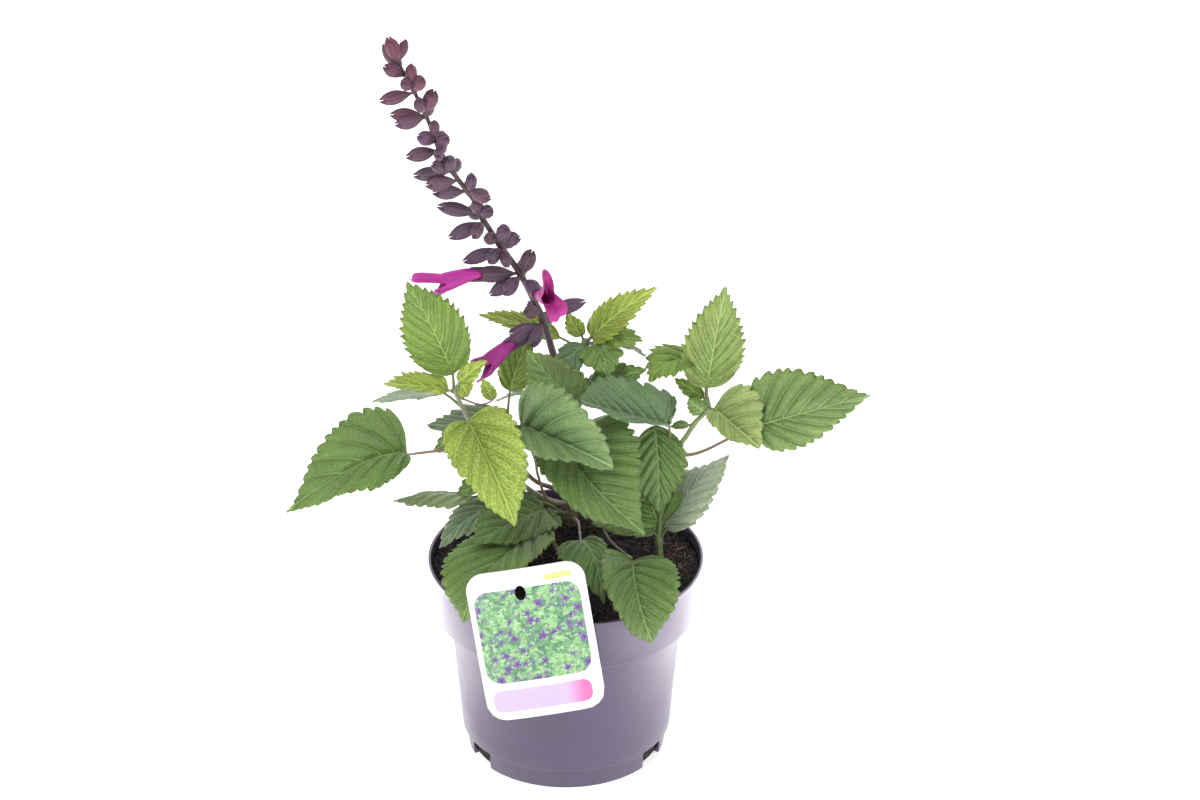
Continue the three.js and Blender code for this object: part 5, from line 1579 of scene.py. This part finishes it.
def card_finish():
    """Printed card: white, with a mottled green panel, purple flowers, and a lilac foot."""
    material, tree = new_material("printed_card", ior=1.5, coat_weight=0.35, coat_roughness=0.18)
    spot = own(tree, "card")
    _, up, front = split(spot)

    def panel(centre, half, corner):
        return use(PANEL, {
            "Place": spot, "Centre": (*centre, 0), "Half Size": (*half, 0), "Corner": corner})["Mask"]

    def spread(scale, detail, z):
        """A noise of its own for each z, which wanders over the card."""
        return noise_at(vectors("ADD", spot, (3, 9, z)), scale, detail, 1.2)[0]

    def flowers(picture, scale, size, shift):
        """Loose flowers with ragged petals, each turned and sized in its own way."""
        moved = vectors("ADD", spot, (shift, shift, 0))
        cells = cells_at(moved, scale, voronoi_dimensions="2D")
        away = vectors("SUBTRACT", moved, cells["Position"])
        x, y, _ = split(away)
        random = add(tree, "ShaderNodeSeparateColor", {0: cells["Color"]})
        turned = calc("MULTIPLY_ADD", random[1], 6.0, calc("ARCTAN2", y, x))
        petals = calc("COSINE", turned * 5)
        rim = calc("MULTIPLY_ADD", petals, 0.2, 0.8) * (size * ramp(random[0], 0, 1, .6, 1.3))
        rim = rim - ramp(thick, .4, .5, 1, 0) * (size * 1.3)
        radius = add(tree, "ShaderNodeVectorMath", {0: away}, operation="LENGTH")["Value"]
        bloom = ramp(radius - rim, -0.4 * size, 0.05, 1, 0)
        shade = mixed(ramp(radius, 0.1, size), paint(62, 30, 96), paint(124, 76, 164))
        shade = mixed(ramp(random[2], .65, .85), shade, paint(96, 50, 140))
        return mixed(bloom, picture, shade)

    picture = mixed(ramp(spread(.16, 3.0, 0), .36, .64), paint(70, 128, 84), paint(138, 188, 122))
    picture = mixed(ramp(spread(.5, 1.0, 31), .5, .7, 0, .7), picture, paint(186, 212, 168))
    picture = mixed(ramp(spread(.4, 1.0, 57), .54, .7, 0, .8), picture, paint(56, 104, 88))
    thick = spread(.07, 1.0, 83)  # where the flowers stand thick
    picture = flowers(flowers(picture, 0.4, 1.3, 5), 0.22, 2.5, 0)
    white = paint_node(tree, paint(232, 230, 234))
    colour = mixed(panel((-.5, 4.5), (24.5, 23), 7), white, picture)
    # The lilac band runs to pink at its right end.
    band = mixed(ramp(split(spot)[0], 8, 20), paint(196, 178, 214), paint(214, 104, 166))
    colour = mixed(panel((-1, -27.5), (23, 5.5), 4), colour, band)
    stripes = ramp(calc("SINE", up * 2.4), .2, .5)
    tinted = panel((-6, -27.5), (14, 3), 1) * stripes
    colour = mixed(tinted * 0.4, colour, paint(190, 166, 212))
    colour = mixed(panel((15, 31), (6.5, 1.5), 1.5), colour, paint(196, 214, 120))
    colour = mixed(front, paint(238, 236, 240), colour)
    place = here(tree)
    dust = use(DUST, {"Place": place, "Speck Scale": 500.0, "Smear Scale": 60.0})
    colour = mixed(dust["Specks"] * 0.12, colour, paint(150, 130, 110))
    height = noise_at(place, 1800.0)[0] - dust["Scratches"] * 0.5
    return finish_surface(material, colour, 0.34 + dust["Smears"] * 0.12, height, 0.00004, 0.4)


def card_place(points):
    """From the card's own sheet to its place on the rim."""
    x, y, z = np.asarray(points, float).T
    a, b = math.radians(LABEL["roll"]), math.radians(90 - LABEL["tilt"])
    x, y = x * math.cos(a) - y * math.sin(a), x * math.sin(a) + y * math.cos(a)
    y, z = y * math.cos(b) - z * math.sin(b), y * math.sin(b) + z * math.cos(b)
    back = LABEL["below_rim"] * math.tan(math.radians(LABEL["tilt"]))
    return np.stack([x + LABEL["centre_x"], y - POT["rim"] - LABEL["stand_off"] - back,
                     z + POT["height"] - LABEL["below_rim"]], 1)


def hook_strip():
    """The strip that hooks over the rim and goes down between the wall and the soil."""
    t = LABEL["thick"]
    (left, right), (outer, inner), (low, over) = STRIP["sides"], STRIP["depths"], STRIP["heights"]
    loop = [(outer, over), (inner - .5, over), (inner - .15, over - .15), (inner, over - .5),
            (inner, low), (inner + t, low), (inner + t, over - .2),
            (inner + t - .35, over + t - .25), (inner + t - .9, over + t), (outer, over + t)]
    k = len(loop)
    sides = (left, left + .15, right - .15, right)
    faces = [tuple(range(k)), tuple(range(3 * k, 4 * k))[::-1]]
    faces += [(r * k + i, (r + 1) * k + i, (r + 1) * k + (i + 1) % k, r * k + (i + 1) % k)
              for r in range(3) for i in range(k)]
    return [(x, y, z) for x in sides for y, z in loop], faces


def build_card(finishes):
    """The card: a bent sheet with round corners and a punched hole, and the strip behind it."""
    half_w, half_h, corner = LABEL["width"] / 2, LABEL["height"] / 2, LABEL["corner"]
    hx, hy, hrx, hry = LABEL["hole"]
    count = 120
    turn = full_turn(count)

    def outline(t):
        """The rim of the card in a direction from the hole's middle, found by halving."""
        d = np.array([math.cos(t), math.sin(t)])
        low, high = 0.0, 120.0
        for _ in range(40):
            mid = (low + high) / 2
            px, py = hx + d[0] * mid, hy + d[1] * mid
            ex, ey = max(abs(px) - half_w + corner, 0), max(abs(py) - half_h + corner, 0)
            inside = abs(px) < half_w and abs(py) < half_h and math.hypot(ex, ey) < corner
            low, high = (mid, high) if inside else (low, mid)
        return np.array([hx, hy]) + d * low

    rim = np.array([outline(t) for t in turn])
    hole = np.stack([hx + np.cos(turn) * hrx, hy + np.sin(turn) * hry], 1)
    steps = [0, .03, .1, .2, .3, .4, .5, .6, .7, .8, .9, .97, .992, 1]
    flat = [hole + (rim - hole) * a for a in steps]
    sheets, values = [], []
    for is_front in (False, True):
        for row, a in zip(flat, steps):
            inset = 0.12 if a in (0, 1) else 0
            z = -LABEL["bend"] * (row[:, 0] / half_w)**2
            z = z + (LABEL["thick"] - inset if is_front else inset)
            sheets.append(np.column_stack([row, z]))
            values.append(np.column_stack([row, np.full(count, float(is_front))]))
    points = card_place(np.vstack(sheets))
    n = len(steps)
    faces = [face[::-1] for face in rings_of(n, count)]
    faces += [tuple(i + n * count for i in face) for face in rings_of(n, count)]
    for ring, step in ((0, 1), (n - 1, -1)):
        for k in range(count):
            a, b = ring * count + k, ring * count + (k + 1) % count
            faces.append((a, b, b + n * count, a + n * count)[::step])
    mesh = Gathered("card")
    mesh.add(points, faces, card=np.vstack(values))
    mesh.add(*hook_strip(), card=(0, 0, 0))
    card = mesh.make("plant_label_card", finishes.card)
    join_seams(card)
    card.data.set_sharp_from_angle(angle=math.radians(40))
    place_piece(card, "plant_label")


# ---- The whole plant --------------------------------------------------------------------------


def put_floor():
    turn = full_turn(64)
    ring = np.stack([np.cos(turn), np.sin(turn), 0 * turn], 1) * FLOOR_RADIUS / MM
    mesh = Gathered()
    mesh.add(ring, [tuple(range(len(ring)))])
    mesh.make("floor", floor_finish())


put_studio()
put_floor()
FINISHES = SimpleNamespace(
    leaf=leaf_finish(),
    stem=stem_finish(),
    hair=strand_finish("fine_plant_hair", 0.3, 300.0, 0.6, 0.5, pale=0.55),
    calyx=calyx_finish(),
    petal=petal_finish(),
    pot=pot_finish(),
    soil=soil_finish(),
    fibre=strand_finish("root_fibre", 0.2, 500.0, 1.0, 0.75),
    card=card_finish(),
)
build_pot(FINISHES)
build_soil(FINISHES)
build_card(FINISHES)
for index, stem in enumerate(LEAFY_STEMS):
    build_leafy_stem(stem, FINISHES, index * 13 + 1)
build_spike(FINISHES)
for title, bloom in BLOOMS.items():
    build_bloom(title, bloom, FINISHES)
